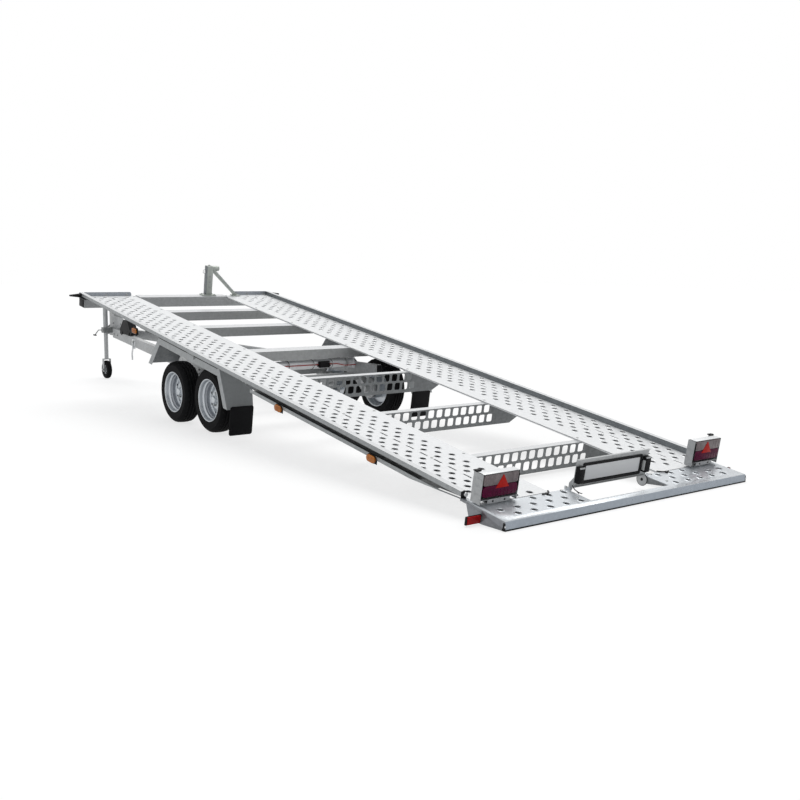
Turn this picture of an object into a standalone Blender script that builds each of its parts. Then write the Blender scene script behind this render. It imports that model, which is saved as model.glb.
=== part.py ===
"""Tilting car trailer with two axles, parked on its jockey wheel with the bed tipped back.

Metres, +Z up, +Y towards the coupling, +X to the right. The origin is on the ground, in the
middle of the trailer's box. Sizes of the bed are given along the bed, from the rear end of
its rails (s, towards the front) and up from the track plates (h). Sizes of the chassis are
given from the same point, level along the ground.
"""

import math

import bmesh
import bpy
from mathutils import Matrix, Vector

# Fits
GAP = 0.0003
RUNNING_GAP = 0.0012

# Bed
TILT_DEG = 9.1708
BED_WIDTH = 2.2
RAIL_LENGTH = 6.02
RAIL_UP = 0.040
RAIL_DOWN = 0.043
RAIL_DEPTH = 0.0423
RAIL_WALL = 0.004
RAIL_UPPER_LIP = 0.029
RAIL_LOWER_LIP = 0.025
RAIL_TAPER_LENGTH = 0.46
RAIL_END_DOWN = 0.005

TRACK_INNER = 0.505
TRACK_THICK = 0.003
TRACK_FOLD = 0.012
TRACK_REAR = 0.12

PLAIN_BEAM_S = (5.26, 4.525, 3.545)
PLAIN_BEAM_WIDTH = 0.12
PLAIN_BEAM_DOWN = 0.10
PLAIN_BEAM_WALL = 0.005
FRONT_BEAM_S = 5.881
FRONT_BEAM_WIDTH = 0.132
FRONT_BEAM_DOWN = 0.106
FRONT_BEAM_WALL = 0.006

SLOTTED_BEAM_S = (2.6, 1.6, 0.6)
SLOTTED_BEAM_WIDTH = 0.055
SLOTTED_BEAM_DOWN = 0.19
SLOTTED_BEAM_WALL = 0.004
SLOT_COUNT = 14
SLOT_PITCH = 0.080
SLOT_WIDTH = 0.057
SLOT_CORNER = 0.009
SLOT_ROW_DOWN = (0.052, 0.1305)
SLOT_ROW_HEIGHT = (0.062, 0.063)

HEADBOARD_INNER_LEFT = 0.549
HEADBOARD_INNER_RIGHT = 0.635
HEADBOARD_THICK = 0.004
HEADBOARD_HEIGHT = 0.066
HEADBOARD_CORNER = 0.02

TAIL_END = 0.376
TAIL_LIP_HEIGHT = 0.0533
TAIL_THICK = 0.005
TAIL_OPENING_HALF = 0.36
TAIL_OPENING_END = 0.321
TAIL_STRIP_DOWN = 0.02
CHEEK_STEP = 0.055
CHEEK_STEP_DOWN = 0.014
CHEEK_KNEE = 0.09
CHEEK_KNEE_LIFT = 0.012
CHEEK_GROUND = 0.2
MARKER_FLAP_OUT = 0.06
MARKER_FLAP_FRONT = 0.075
MARKER_FLAP_REAR = 0.185
MARKER_FLAP_THICK = 0.004
MARKER_FLAP_DOWN = 0.070

POST_X = 0.345
POST_SIZE = 0.06
POST_TOP = 0.32
POST_FOOT_HALF = 0.077
POST_FOOT_THICK = 0.006
POST_STUB_OUT = 0.061
POST_STUB_H = 0.294
POST_STUB_RADIUS = 0.027
POST_BRACE_SIZE = 0.045
POST_BRACE_TOP = 0.240
POST_BRACE_FOOT_X = 0.60
POST_PIN_RADIUS = 0.008
POST_PIN_LENGTH = 0.03

GUARD_IN = 0.0097
GUARD_WIDTH = 0.288
GUARD_SHEET = 0.003
GUARD_BAND = 0.055
GUARD_LEDGE = 0.045
GUARD_TOP_DOWN = 0.048
GUARD_TOP_S = (3.04, 4.20)
GUARD_LEG_S = (2.87, 4.39)
GUARD_LEG_DOWN = (0.31, 0.30)
FLAP_IN = 0.048
FLAP_WIDTH = 0.21
FLAP_THICK = 0.006
FLAP_TOP_DOWN = 0.285
FLAP_BOTTOM_DOWN = 0.47

MARKER_ARM_S = 5.975
MARKER_ARM_RADIUS = 0.012
MARKER_ARM_LENGTH = 0.065
MARKER_HEAD_LENGTH = 0.05
MARKER_HEAD_WIDTH = 0.044
MARKER_HEAD_HEIGHT = 0.05
MARKER_RISE = 0.012

# Lamps and number plate
LAMP_PIN_IN = 0.030
LAMP_PIN_S = -0.082
LAMP_PIN_RADIUS = 0.0075
LAMP_KNUCKLE_RADIUS = 0.013
LAMP_FLOOR = 0.010
LAMP_TOP = 0.186
LAMP_PIN_COVER = 0.019
LAMP_WIDTH = 0.283
LAMP_SHEET = 0.003
LAMP_BACK_S = -0.095
LAMP_SIDE_END_S = -0.150
LAMP_SHELF_H = 0.036
LAMP_LENS_FRONT_S = -0.158
LAMP_LENS_BACK_S = -0.0985
LAMP_LENS_LOW = 0.046
LAMP_LENS_HIGH = 0.188
LAMP_LENS_CORNER = 0.012

HOLDER_HALF = 0.335
HOLDER_HINGE_S = -0.1225
HOLDER_HINGE_H = 0.002
HOLDER_S = -0.145
HOLDER_LOW = 0.016
HOLDER_HIGH = 0.19
HOLDER_SHEET = 0.003
HOLDER_RIM = 0.012
HOLDER_EAR_RADIUS = 0.016
HOLDER_EAR_THICK = 0.005
HOLDER_PIN_RADIUS = 0.006
HOLDER_PIN_LENGTH = 0.034
PLATE_HALF = 0.26
PLATE_HEIGHT = 0.110
PLATE_LOW = 0.040
PLATE_THICK = 0.003
PLATE_LAMP_INNER = 0.284
PLATE_LAMP_OUTER = 0.328
PLATE_LAMP_LOW = 0.045
PLATE_LAMP_HEIGHT = 0.10
PLATE_LAMP_DEPTH = 0.030

# Chassis, from the rear end of the rails along the ground
COUPLING_FRONT_Y = 8.05
WHEEL_Y = {"front": 4.093, "rear": 3.415}
TYRE_RADIUS = 0.275
TYRE_IN = 0.097
TYRE_WIDTH = 0.165
BEAD_RADIUS = 0.173
BEAD_HALF = 0.070
RIM_FLANGE_RADIUS = 0.181
RIM_FLANGE_THICK = 0.007
RIM_WELL_RADIUS = 0.150
RIM_WALL = 0.006
RIM_DISC_OUT = -0.018
RIM_DRUM_RADIUS = 0.098
RIM_HUB_RADIUS = 0.036
RIM_HUB_OUT = 0.040
STUB_RADIUS = 0.022
WHEEL_SEGMENTS = 24

PIVOT_S = 3.539
PIVOT_DOWN = 0.164
PIVOT_TUBE_RADIUS = 0.0425
PIVOT_FLANGE_HALF = 0.050
PIVOT_FLANGE_THICK = 0.008
LUG_X = 0.50
LUG_THICK = 0.014
LUG_RADIUS = 0.064
LUG_TOP_HALF = 0.050

ARM_INNER = 0.59
ARM_WIDTH = 0.06
ARM_HEIGHT = 0.10
ARM_BOTTOM = 0.420
ARM_NOSE_BOTTOM = 0.520
ARM_REAR_Y = 3.12
ARM_BEND_Y = 4.45
ARM_NOSE_Y = 7.60
ARM_NOSE_INNER = 0.0503

AXLE_LEAD = 0.13
AXLE_SIZE = 0.07
AXLE_PAD = 0.005
AXLE_PAD_HALF = 0.055
AXLE_INSET = 0.1785
SWING_ARM_THICK = 0.03
SWING_ARM_RADIUS = 0.038
BACKPLATE_RADIUS = 0.098
BACKPLATE_THICK = 0.012
STUB_OUT = 0.0065

NOSE_BACK_Y = 7.30
NOSE_FRONT_Y = 7.86
NOSE_WIDTH = 0.10
NOSE_HEIGHT = 0.09
NOSE_LIFT = 0.012
NOSE_SHAFT_RADIUS = 0.03
NOSE_SHAFT_OUT = 0.07
CONTROL_PLATE_THICK = 0.008
CONTROL_PLATE_BACK_Y = 7.40
CONTROL_PLATE_FRONT_Y = 7.80
CONTROL_PLATE_TOP = 0.235
CONTROL_PLATE_SLANT = 0.12
HEAD_WIDTH = 0.078
HEAD_HEIGHT = 0.075
HEAD_NOSE_RADIUS = 0.039
HEAD_SOCKET_RADIUS = 0.026
HEAD_SOCKET_DEPTH = 0.045
HEAD_HANDLE_LENGTH = 0.15
HEAD_HANDLE_THICK = 0.014

JOCKEY_X = -0.12
JOCKEY_Y = 7.80
JOCKEY_TUBE_RADIUS = 0.028
JOCKEY_TUBE_WALL = 0.003
JOCKEY_TUBE_LOW = 0.562
JOCKEY_TUBE_HIGH = 0.965
JOCKEY_LEG_TOP = 0.635
JOCKEY_WHEEL_RADIUS = 0.111
JOCKEY_WHEEL_HALF = 0.030
JOCKEY_HUB_RADIUS = 0.058
JOCKEY_AXLE_RADIUS = 0.008
JOCKEY_FORK_HALF = 0.040
JOCKEY_FORK_THICK = 0.005
JOCKEY_FORK_WIDTH = 0.05
JOCKEY_CROWN = 0.240
CLAMP_HALF = 0.040
CLAMP_LOW = 0.565
CLAMP_HEIGHT = 0.065
CLAMP_HANDLE_RADIUS = 0.006
CLAMP_HANDLE_OUT = 0.09
CLAMP_HANDLE_DROP = 0.06
CRANK_RADIUS = 0.006
CRANK_RISE = 0.025
CRANK_REACH = 0.12
CRANK_GRIP = 0.05

CHOCK_Y = 7.05
CHOCK_LENGTH = 0.26
CHOCK_HEIGHT = 0.165
CHOCK_THICK = 0.09
CHOCK_TOP_SHARE = 0.35
CHOCK_NOTCH_SHARE = 0.12

LEVER_Y = 6.70
LEVER_DROP = 0.22
LEVER_RADIUS = 0.009
LEVER_BRACKET_LENGTH = 0.09
LEVER_BRACKET_DOWN = 0.05
LEVER_BRACKET_THICK = 0.008

CABLE_RADIUS = 0.005
CABLE_BYPASS = 0.075
CABLE_HUG_HALF = 0.39
CABLE_TURN_HALF = 0.46
CABLE_DROP_SHARE = 0.22

# Derived
TILT = math.radians(TILT_DEG)
HALF_BED = BED_WIDTH / 2
RAIL_WEB_X = HALF_BED - RAIL_DEPTH
TRACK_OUTER = RAIL_WEB_X - GAP
BEAM_TOP = -TRACK_FOLD - GAP
BEAM_HALF = RAIL_WEB_X - GAP
DECK_Z = TAIL_LIP_HEIGHT + TAIL_END * math.sin(TILT)
REAR_Y = -TAIL_END * math.cos(TILT)
MIDDLE_Y = (COUPLING_FRONT_Y + REAR_Y) / 2
PIVOT_H = -PIVOT_DOWN
PIVOT_Y = PIVOT_S * math.cos(TILT) - PIVOT_H * math.sin(TILT)
PIVOT_Z = DECK_Z + PIVOT_S * math.sin(TILT) + PIVOT_H * math.cos(TILT)
GUARD_OUTER = RAIL_WEB_X - GUARD_IN
GUARD_INNER = GUARD_OUTER - GUARD_WIDTH
FLAP_OUTER = GUARD_OUTER - FLAP_IN
FLAP_INNER = FLAP_OUTER - FLAP_WIDTH
LAMP_PIN_X = HALF_BED - LAMP_PIN_IN
LAMP_OUTER = LAMP_PIN_X + LAMP_PIN_COVER
LAMP_INNER = LAMP_OUTER - LAMP_WIDTH
WHEEL_MIDDLE = GUARD_OUTER - TYRE_IN - TYRE_WIDTH / 2
AXLE_HALF = WHEEL_MIDDLE - AXLE_INSET
STUB_END = WHEEL_MIDDLE + STUB_OUT
JOCKEY_LEG_RADIUS = JOCKEY_TUBE_RADIUS - JOCKEY_TUBE_WALL - RUNNING_GAP / 2
SIDES = {"left": -1, "right": 1}

ROOT = bpy.context.scene.collection
STEEL = {}


def ground_h(s):
    """Height in the bed's frame of the ground under the bed at s."""
    return -(DECK_Z + s * math.sin(TILT)) / math.cos(TILT)


def clear_scene():
    for item in list(bpy.data.objects):
        bpy.data.objects.remove(item, do_unlink=True)


def new_collection(name):
    group = bpy.data.collections.new(name)
    ROOT.children.link(group)
    return group


def material(name, color, metallic, roughness):
    item = bpy.data.materials.new(name)
    item.use_nodes = True
    shader = item.node_tree.nodes["Principled BSDF"]
    shader.inputs["Base Color"].default_value = (*color, 1)
    shader.inputs["Metallic"].default_value = metallic
    shader.inputs["Roughness"].default_value = roughness
    item.diffuse_color = (*color, 1)
    return item


def finish(name, mesh, group, parent, place, look):
    """Link one object with its own material."""
    item = bpy.data.objects.new(name, mesh)
    group.objects.link(item)
    item.parent = parent
    item.location = place
    if look is not None:
        mesh.materials.clear()
        mesh.materials.append(material(name, *STEEL[look]))
    return item


def solid_from_curve(curve, name, turn):
    """Mesh of a curve, in the place the turn matrix gives it."""
    helper = bpy.data.objects.new(name, curve)
    ROOT.objects.link(helper)
    bpy.context.view_layer.update()
    graph = bpy.context.evaluated_depsgraph_get()
    mesh = bpy.data.meshes.new_from_object(helper.evaluated_get(graph))
    mesh.name = name
    bpy.data.objects.remove(helper, do_unlink=True)
    bpy.data.curves.remove(curve)
    cage = bmesh.new()
    cage.from_mesh(mesh)
    bmesh.ops.remove_doubles(cage, verts=cage.verts, dist=GAP / 100)
    bmesh.ops.recalc_face_normals(cage, faces=cage.faces)
    cage.to_mesh(mesh)
    cage.free()
    mesh.transform(turn)
    return mesh


def plane_matrix(plane, offset):
    """Turn of a flat outline into a plane, moved by offset along the plane's normal."""
    if plane == "YZ":
        turn = Matrix(((0, 0, 1, offset), (1, 0, 0, 0), (0, 1, 0, 0), (0, 0, 0, 1)))
    elif plane == "XZ":
        turn = Matrix(((1, 0, 0, 0), (0, 0, -1, offset), (0, 1, 0, 0), (0, 0, 0, 1)))
    else:
        turn = Matrix.Translation(Vector((0, 0, offset)))
    return turn


def outline_mesh(name, loops, thickness, plane, middle):
    """Flat outline with its holes, given a thickness about a middle plane."""
    curve = bpy.data.curves.new(name, "CURVE")
    curve.dimensions = "2D"
    curve.fill_mode = "BOTH"
    curve.extrude = thickness / 2
    for loop in loops:
        spline = curve.splines.new("POLY")
        spline.points.add(len(loop) - 1)
        for point, pair in zip(spline.points, loop):
            point.co = (pair[0], pair[1], 0, 1)
        spline.use_cyclic_u = True
    return solid_from_curve(curve, name, plane_matrix(plane, middle))


def rod_mesh(name, points, radius, sides):
    """Round rod along points, with closed ends."""
    curve = bpy.data.curves.new(name, "CURVE")
    curve.dimensions = "3D"
    curve.bevel_depth = radius
    curve.bevel_resolution = sides
    curve.use_fill_caps = True
    spline = curve.splines.new("POLY")
    spline.points.add(len(points) - 1)
    for point, place in zip(spline.points, points):
        point.co = (*place, 1)
    return solid_from_curve(curve, name, Matrix.Identity(4))


def box_mesh(name, low, high):
    """Box between two corners."""
    low = Vector(low)
    high = Vector(high)
    mesh = bpy.data.meshes.new(name)
    cage = bmesh.new()
    scale = Matrix.Diagonal((high - low).to_4d())
    scale[3][3] = 1
    bmesh.ops.create_cube(cage, size=1, matrix=Matrix.Translation((low + high) / 2) @ scale)
    cage.to_mesh(mesh)
    cage.free()
    return mesh


def cylinder_mesh(name, middle, radius, length, axis, segments):
    """Round bar about a middle point along one axis."""
    mesh = bpy.data.meshes.new(name)
    cage = bmesh.new()
    turns = {"X": Matrix.Rotation(math.pi / 2, 4, "Y"),
             "Y": Matrix.Rotation(-math.pi / 2, 4, "X"),
             "Z": Matrix.Identity(4)}
    bmesh.ops.create_cone(
        cage, cap_ends=True, segments=segments, radius1=radius, radius2=radius,
        depth=length, matrix=Matrix.Translation(middle) @ turns[axis])
    cage.to_mesh(mesh)
    cage.free()
    return mesh


def loft_mesh(name, rings):
    """Closed body through rings of four corners each, in order along its length."""
    mesh = bpy.data.meshes.new(name)
    cage = bmesh.new()
    rows = [[cage.verts.new(corner) for corner in ring] for ring in rings]
    for near, far in zip(rows, rows[1:]):
        for index, corner in enumerate(near):
            after = (index + 1) % len(near)
            cage.faces.new((corner, near[after], far[after], far[index]))
    cage.faces.new(list(reversed(rows[0])))
    cage.faces.new(rows[-1])
    bmesh.ops.recalc_face_normals(cage, faces=cage.faces)
    cage.to_mesh(mesh)
    cage.free()
    return mesh


def turned(name, loop, segments, parent, place, side, look):
    """Closed ring profile turned about the axle; the first value is the radius."""
    mesh = bpy.data.meshes.new(name)
    points = [(radius, 0, out) for radius, out in loop]
    edges = [(index, (index + 1) % len(points)) for index in range(len(points))]
    mesh.from_pydata(points, edges, [])
    item = finish(name, mesh, BODY, parent, place, look)
    item.rotation_euler = (0, side * math.pi / 2, 0)
    screw = item.modifiers.new("turn", "SCREW")
    screw.axis = "Z"
    screw.angle = math.tau
    screw.steps = segments
    screw.render_steps = segments
    screw.use_merge_vertices = True
    screw.merge_threshold = GAP / 10
    screw.use_smooth_shade = False
    return item


def combine(item, helper_mesh, operation):
    """Join a helper to an object, or cut it out."""
    helper = bpy.data.objects.new(item.name + "_" + operation.lower(), helper_mesh)
    CUTTERS.objects.link(helper)
    helper.parent = item.parent
    helper.location = item.location
    helper.hide_render = True
    helper.display_type = "WIRE"
    change = item.modifiers.new(operation.lower(), "BOOLEAN")
    change.operation = operation
    change.solver = "EXACT"
    change.object = helper
    return helper


def mirrored(points, side):
    """Points with the first value given for the right side."""
    if side > 0:
        return list(points)
    return [(-point[0], *point[1:]) for point in reversed(points)]


def span(side, near, far):
    """Two distances from the middle as low and high X on one side."""
    return (near, far) if side > 0 else (-far, -near)


# Bed pieces

def side_beam(name, side):
    """Rail, an open channel facing out, its underside cut back to the tail."""
    inner = RAIL_WEB_X + RAIL_WALL
    lip = HALF_BED - RAIL_WALL
    profile = [
        (RAIL_WEB_X, -RAIL_DOWN), (HALF_BED, -RAIL_DOWN),
        (HALF_BED, -RAIL_DOWN + RAIL_LOWER_LIP), (lip, -RAIL_DOWN + RAIL_LOWER_LIP),
        (lip, -RAIL_DOWN + RAIL_WALL), (inner, -RAIL_DOWN + RAIL_WALL),
        (inner, RAIL_UP - RAIL_WALL), (lip, RAIL_UP - RAIL_WALL),
        (lip, RAIL_UP - RAIL_UPPER_LIP), (HALF_BED, RAIL_UP - RAIL_UPPER_LIP),
        (HALF_BED, RAIL_UP), (RAIL_WEB_X, RAIL_UP)]
    mesh = outline_mesh(name, [mirrored(profile, side)], RAIL_LENGTH, "XZ", RAIL_LENGTH / 2)
    item = finish(name, mesh, BODY, BED, BED_PLACE, "galvanised")
    fall = (RAIL_DOWN - RAIL_END_DOWN) / RAIL_TAPER_LENGTH
    wedge = [
        (-RAIL_DEPTH, -RAIL_END_DOWN + fall * RAIL_DEPTH),
        (-RAIL_DEPTH, -RAIL_DOWN - RAIL_DEPTH),
        (RAIL_TAPER_LENGTH + RAIL_DEPTH, -RAIL_DOWN - RAIL_DEPTH),
        (RAIL_TAPER_LENGTH + RAIL_DEPTH, -RAIL_DOWN - fall * RAIL_DEPTH)]
    cut = outline_mesh(name, [wedge], RAIL_DEPTH * 2, "YZ", side * HALF_BED)
    combine(item, cut, "DIFFERENCE")


def track(name, side):
    """Track plate with both long edges folded down."""
    profile = [
        (TRACK_INNER, -TRACK_FOLD), (TRACK_INNER + TRACK_THICK, -TRACK_FOLD),
        (TRACK_INNER + TRACK_THICK, -TRACK_THICK), (TRACK_OUTER - TRACK_THICK, -TRACK_THICK),
        (TRACK_OUTER - TRACK_THICK, -TRACK_FOLD), (TRACK_OUTER, -TRACK_FOLD),
        (TRACK_OUTER, 0), (TRACK_INNER, 0)]
    length = RAIL_LENGTH + TRACK_REAR
    middle = (RAIL_LENGTH - TRACK_REAR) / 2
    mesh = outline_mesh(name, [mirrored(profile, side)], length, "XZ", middle)
    finish(name, mesh, BODY, BED, BED_PLACE, "track")


def channel(width, top, bottom, wall):
    """Channel section, its web to the rear and its flanges to the front."""
    half = width / 2
    return [
        (-half, top), (-half, bottom), (half, bottom), (half, bottom + wall),
        (-half + wall, bottom + wall), (-half + wall, top - wall), (half, top - wall),
        (half, top)]


def moved(loop, along, up):
    return [(point[0] + along, point[1] + up) for point in loop]


def plain_beam(name, position):
    """Cross channel under the tracks."""
    section = channel(PLAIN_BEAM_WIDTH, BEAM_TOP, -PLAIN_BEAM_DOWN, PLAIN_BEAM_WALL)
    mesh = outline_mesh(name, [moved(section, position, 0)], 2 * BEAM_HALF, "YZ", 0)
    return finish(name, mesh, BODY, BED, BED_PLACE, "galvanised")


def pivot_beam(name, position):
    """Cross channel that carries the two lugs on the chassis tube."""
    item = plain_beam(name, position)
    for side in SIDES.values():
        outline = [
            (PIVOT_S + LUG_TOP_HALF, -PLAIN_BEAM_DOWN + PLAIN_BEAM_WALL / 2),
            (PIVOT_S - LUG_TOP_HALF, -PLAIN_BEAM_DOWN + PLAIN_BEAM_WALL / 2)]
        steps = WHEEL_SEGMENTS // 2
        for step in range(steps + 1):
            angle = math.pi + step * math.pi / steps
            outline.append((
                PIVOT_S + LUG_RADIUS * math.cos(angle),
                PIVOT_H + LUG_RADIUS * math.sin(angle)))
        bore_radius = (PIVOT_TUBE_RADIUS + RUNNING_GAP / 2) / math.cos(math.pi / WHEEL_SEGMENTS)
        bore = []
        for step in range(WHEEL_SEGMENTS):
            angle = math.tau * step / WHEEL_SEGMENTS
            bore.append((
                PIVOT_S + bore_radius * math.cos(angle),
                PIVOT_H + bore_radius * math.sin(angle)))
        lug = outline_mesh(name, [outline, bore], LUG_THICK, "YZ", side * LUG_X)
        combine(item, lug, "UNION")
        low, high = span(side, GUARD_OUTER - GUARD_LEDGE - GUARD_SHEET, HALF_BED)
        notch = box_mesh(
            name,
            (low, PLAIN_BEAM_S[2] - PLAIN_BEAM_WIDTH, -PLAIN_BEAM_DOWN * 2),
            (high, PLAIN_BEAM_S[2] + PLAIN_BEAM_WIDTH, -GUARD_TOP_DOWN + GAP))
        combine(item, notch, "DIFFERENCE")


def front_beam(name):
    """Deep channel across the front, as wide as the bed and let in under the rails."""
    section = channel(FRONT_BEAM_WIDTH, BEAM_TOP, -FRONT_BEAM_DOWN, FRONT_BEAM_WALL)
    mesh = outline_mesh(name, [moved(section, FRONT_BEAM_S, 0)], BED_WIDTH, "YZ", 0)
    item = finish(name, mesh, BODY, BED, BED_PLACE, "galvanised")
    for side in SIDES.values():
        low, high = span(side, BEAM_HALF, HALF_BED + RAIL_DEPTH)
        notch = box_mesh(
            name,
            (low, FRONT_BEAM_S - FRONT_BEAM_WIDTH, -RAIL_DOWN - GAP),
            (high, FRONT_BEAM_S + FRONT_BEAM_WIDTH, RAIL_UP))
        combine(item, notch, "DIFFERENCE")


def slot_outline(across, down, height):
    """Rounded rectangular hole about one point of the web."""
    half = SLOT_WIDTH / 2
    rise = height / 2
    corner = SLOT_CORNER
    return [
        (across - half + corner, down - rise), (across + half - corner, down - rise),
        (across + half, down - rise + corner), (across + half, down + rise - corner),
        (across + half - corner, down + rise), (across - half + corner, down + rise),
        (across - half, down + rise - corner), (across - half, down - rise + corner)]


def slotted_beam(name, position):
    """Deep cross channel, its web cut with two staggered rows of holes."""
    wall = SLOTTED_BEAM_WALL
    section = channel(SLOTTED_BEAM_WIDTH, BEAM_TOP, -SLOTTED_BEAM_DOWN, wall)
    mesh = outline_mesh(name, [moved(section, position, 0)], 2 * BEAM_HALF, "YZ", 0)
    item = finish(name, mesh, BODY, BED, BED_PLACE, "galvanised")
    loops = []
    for row, down in enumerate(SLOT_ROW_DOWN):
        count = SLOT_COUNT + row
        for index in range(count):
            across = (index - (count - 1) / 2) * SLOT_PITCH
            loops.append(slot_outline(across, -down, SLOT_ROW_HEIGHT[row]))
    web = position - SLOTTED_BEAM_WIDTH / 2 + wall / 2
    combine(item, outline_mesh(name, loops, wall * 3, "XZ", web), "DIFFERENCE")


def headboard(name, side):
    """Upright plate across the front of one track, its inner top corner rounded."""
    top = RAIL_UP
    bottom = RAIL_UP - HEADBOARD_HEIGHT
    inner = HEADBOARD_INNER_RIGHT if side > 0 else HEADBOARD_INNER_LEFT
    corner = HEADBOARD_CORNER
    outline = [
        (inner, bottom), (HALF_BED, bottom), (HALF_BED, top), (inner + corner, top),
        (inner + corner * (1 - math.sin(math.pi / 4)), top - corner * (1 - math.cos(math.pi / 4))),
        (inner, top - corner)]
    middle = RAIL_LENGTH + GAP + HEADBOARD_THICK / 2
    mesh = outline_mesh(name, [mirrored(outline, side)], HEADBOARD_THICK, "XZ", middle)
    finish(name, mesh, BODY, BED, BED_PLACE, "galvanised")


def tail_plate(name):
    """Tail: top plate with the number plate's opening, rear lip, cheeks and lamp pins."""
    foot = -TAIL_END + ground_h(-TAIL_END) * math.tan(TILT) * math.cos(TILT) ** 2
    ground = ground_h(foot)
    cheek = [
        (-GAP, 0), (-TAIL_END, 0), (foot, ground), (-CHEEK_GROUND, ground_h(-CHEEK_GROUND)),
        (-CHEEK_KNEE, ground_h(-CHEEK_KNEE) + CHEEK_KNEE_LIFT),
        (-CHEEK_STEP, -CHEEK_STEP_DOWN), (-GAP, -CHEEK_STEP_DOWN)]
    mesh = outline_mesh(name, [cheek], BED_WIDTH, "YZ", 0)
    item = finish(name, mesh, BODY, BED, BED_PLACE, "tail")
    inside = HALF_BED - TAIL_THICK
    below = 2 * ground
    hollow = [
        (TRACK_REAR, -TAIL_THICK), (-TAIL_END + TAIL_THICK, -TAIL_THICK),
        (foot + (below - ground) * math.tan(TILT) + TAIL_THICK, below), (TRACK_REAR, below)]
    combine(item, outline_mesh(name, [hollow], 2 * inside, "YZ", 0), "DIFFERENCE")
    shoulder = RAIL_WEB_X
    front = -TRACK_REAR - GAP
    step = box_mesh(name, (-shoulder, front, below), (shoulder, TRACK_REAR, RAIL_UP))
    combine(item, step, "DIFFERENCE")
    opening = box_mesh(
        name,
        (-TAIL_OPENING_HALF, -TAIL_OPENING_END, below), (TAIL_OPENING_HALF, TRACK_REAR, RAIL_UP))
    combine(item, opening, "DIFFERENCE")
    for side in SIDES.values():
        pin = cylinder_mesh(
            name, (side * LAMP_PIN_X, LAMP_PIN_S, (LAMP_TOP - TAIL_THICK / 2) / 2),
            LAMP_PIN_RADIUS, LAMP_TOP + TAIL_THICK / 2, "Z", WHEEL_SEGMENTS // 2)
        combine(item, pin, "UNION")
        ear_in = TAIL_OPENING_HALF + HOLDER_EAR_THICK / 4
        low, high = span(side, ear_in, ear_in + HOLDER_EAR_THICK)
        ear = box_mesh(
            name,
            (low, front - 2 * HOLDER_EAR_RADIUS, -TAIL_THICK / 2),
            (high, HOLDER_HINGE_S + HOLDER_EAR_RADIUS, HOLDER_HINGE_H + HOLDER_EAR_RADIUS))
        combine(item, ear, "UNION")
        low, high = span(
            side, TAIL_OPENING_HALF - HOLDER_PIN_LENGTH, ear_in + HOLDER_EAR_THICK / 2)
        pin = cylinder_mesh(
            name, ((low + high) / 2, HOLDER_HINGE_S, HOLDER_HINGE_H), HOLDER_PIN_RADIUS,
            high - low, "X", WHEEL_SEGMENTS // 2)
        combine(item, pin, "UNION")
    rear_flap(item)


def rear_flap(item):
    """Bracket outside the left cheek for the rear side marker."""
    outer = -HALF_BED - MARKER_FLAP_OUT
    inner = -HALF_BED + TAIL_THICK / 2
    top = -TAIL_THICK / 2
    bottom = top - MARKER_FLAP_THICK
    bend = outer + MARKER_FLAP_THICK
    bracket = [
        (outer, -MARKER_FLAP_DOWN), (bend, -MARKER_FLAP_DOWN), (bend, bottom), (inner, bottom),
        (inner, top), (outer, top)]
    length = MARKER_FLAP_REAR - MARKER_FLAP_FRONT
    middle = -(MARKER_FLAP_REAR + MARKER_FLAP_FRONT) / 2
    combine(item, outline_mesh(item.name, [bracket], length, "XZ", middle), "UNION")


def winch_post(name):
    """Square post on a foot plate, with a stub tube, a sloping brace and a pin."""
    half = POST_SIZE / 2
    base = BEAM_TOP + GAP
    middle = FRONT_BEAM_S
    mesh = box_mesh(
        name, (POST_X - half, middle - half, base), (POST_X + half, middle + half, POST_TOP))
    item = finish(name, mesh, BODY, BED, BED_PLACE, "galvanised")
    foot = box_mesh(
        name,
        (POST_X - POST_FOOT_HALF, middle - half * 2, base),
        (POST_X + POST_FOOT_HALF, middle + half * 2, base + POST_FOOT_THICK))
    combine(item, foot, "UNION")
    stub_length = POST_STUB_OUT + half
    stub = cylinder_mesh(
        name, (POST_X + half + (POST_STUB_OUT - half) / 2, middle, POST_STUB_H - POST_STUB_RADIUS / 8),
        POST_STUB_RADIUS * 7 / 8, stub_length, "X", WHEEL_SEGMENTS // 2)
    combine(item, stub, "UNION")
    brace_half = POST_BRACE_SIZE / 2
    brace = [
        (POST_X, POST_BRACE_TOP), (POST_X, POST_BRACE_TOP - POST_BRACE_SIZE * 3 / 2),
        (POST_BRACE_FOOT_X - POST_BRACE_SIZE * 3 / 2, GAP + POST_FOOT_THICK / 2),
        (POST_BRACE_FOOT_X, GAP + POST_FOOT_THICK / 2)]
    combine(item, outline_mesh(name, [list(reversed(brace))], 2 * brace_half, "XZ", middle),
            "UNION")
    shoe = box_mesh(
        name,
        (POST_BRACE_FOOT_X - POST_BRACE_SIZE * 7 / 4, middle - half, GAP),
        (POST_BRACE_FOOT_X + POST_BRACE_SIZE / 2, middle + half, GAP + POST_FOOT_THICK))
    combine(item, shoe, "UNION")
    pin = cylinder_mesh(
        name, (POST_X, middle, POST_TOP + POST_PIN_LENGTH / 4), POST_PIN_RADIUS,
        POST_PIN_LENGTH, "Z", WHEEL_SEGMENTS // 3)
    combine(item, pin, "UNION")


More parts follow.
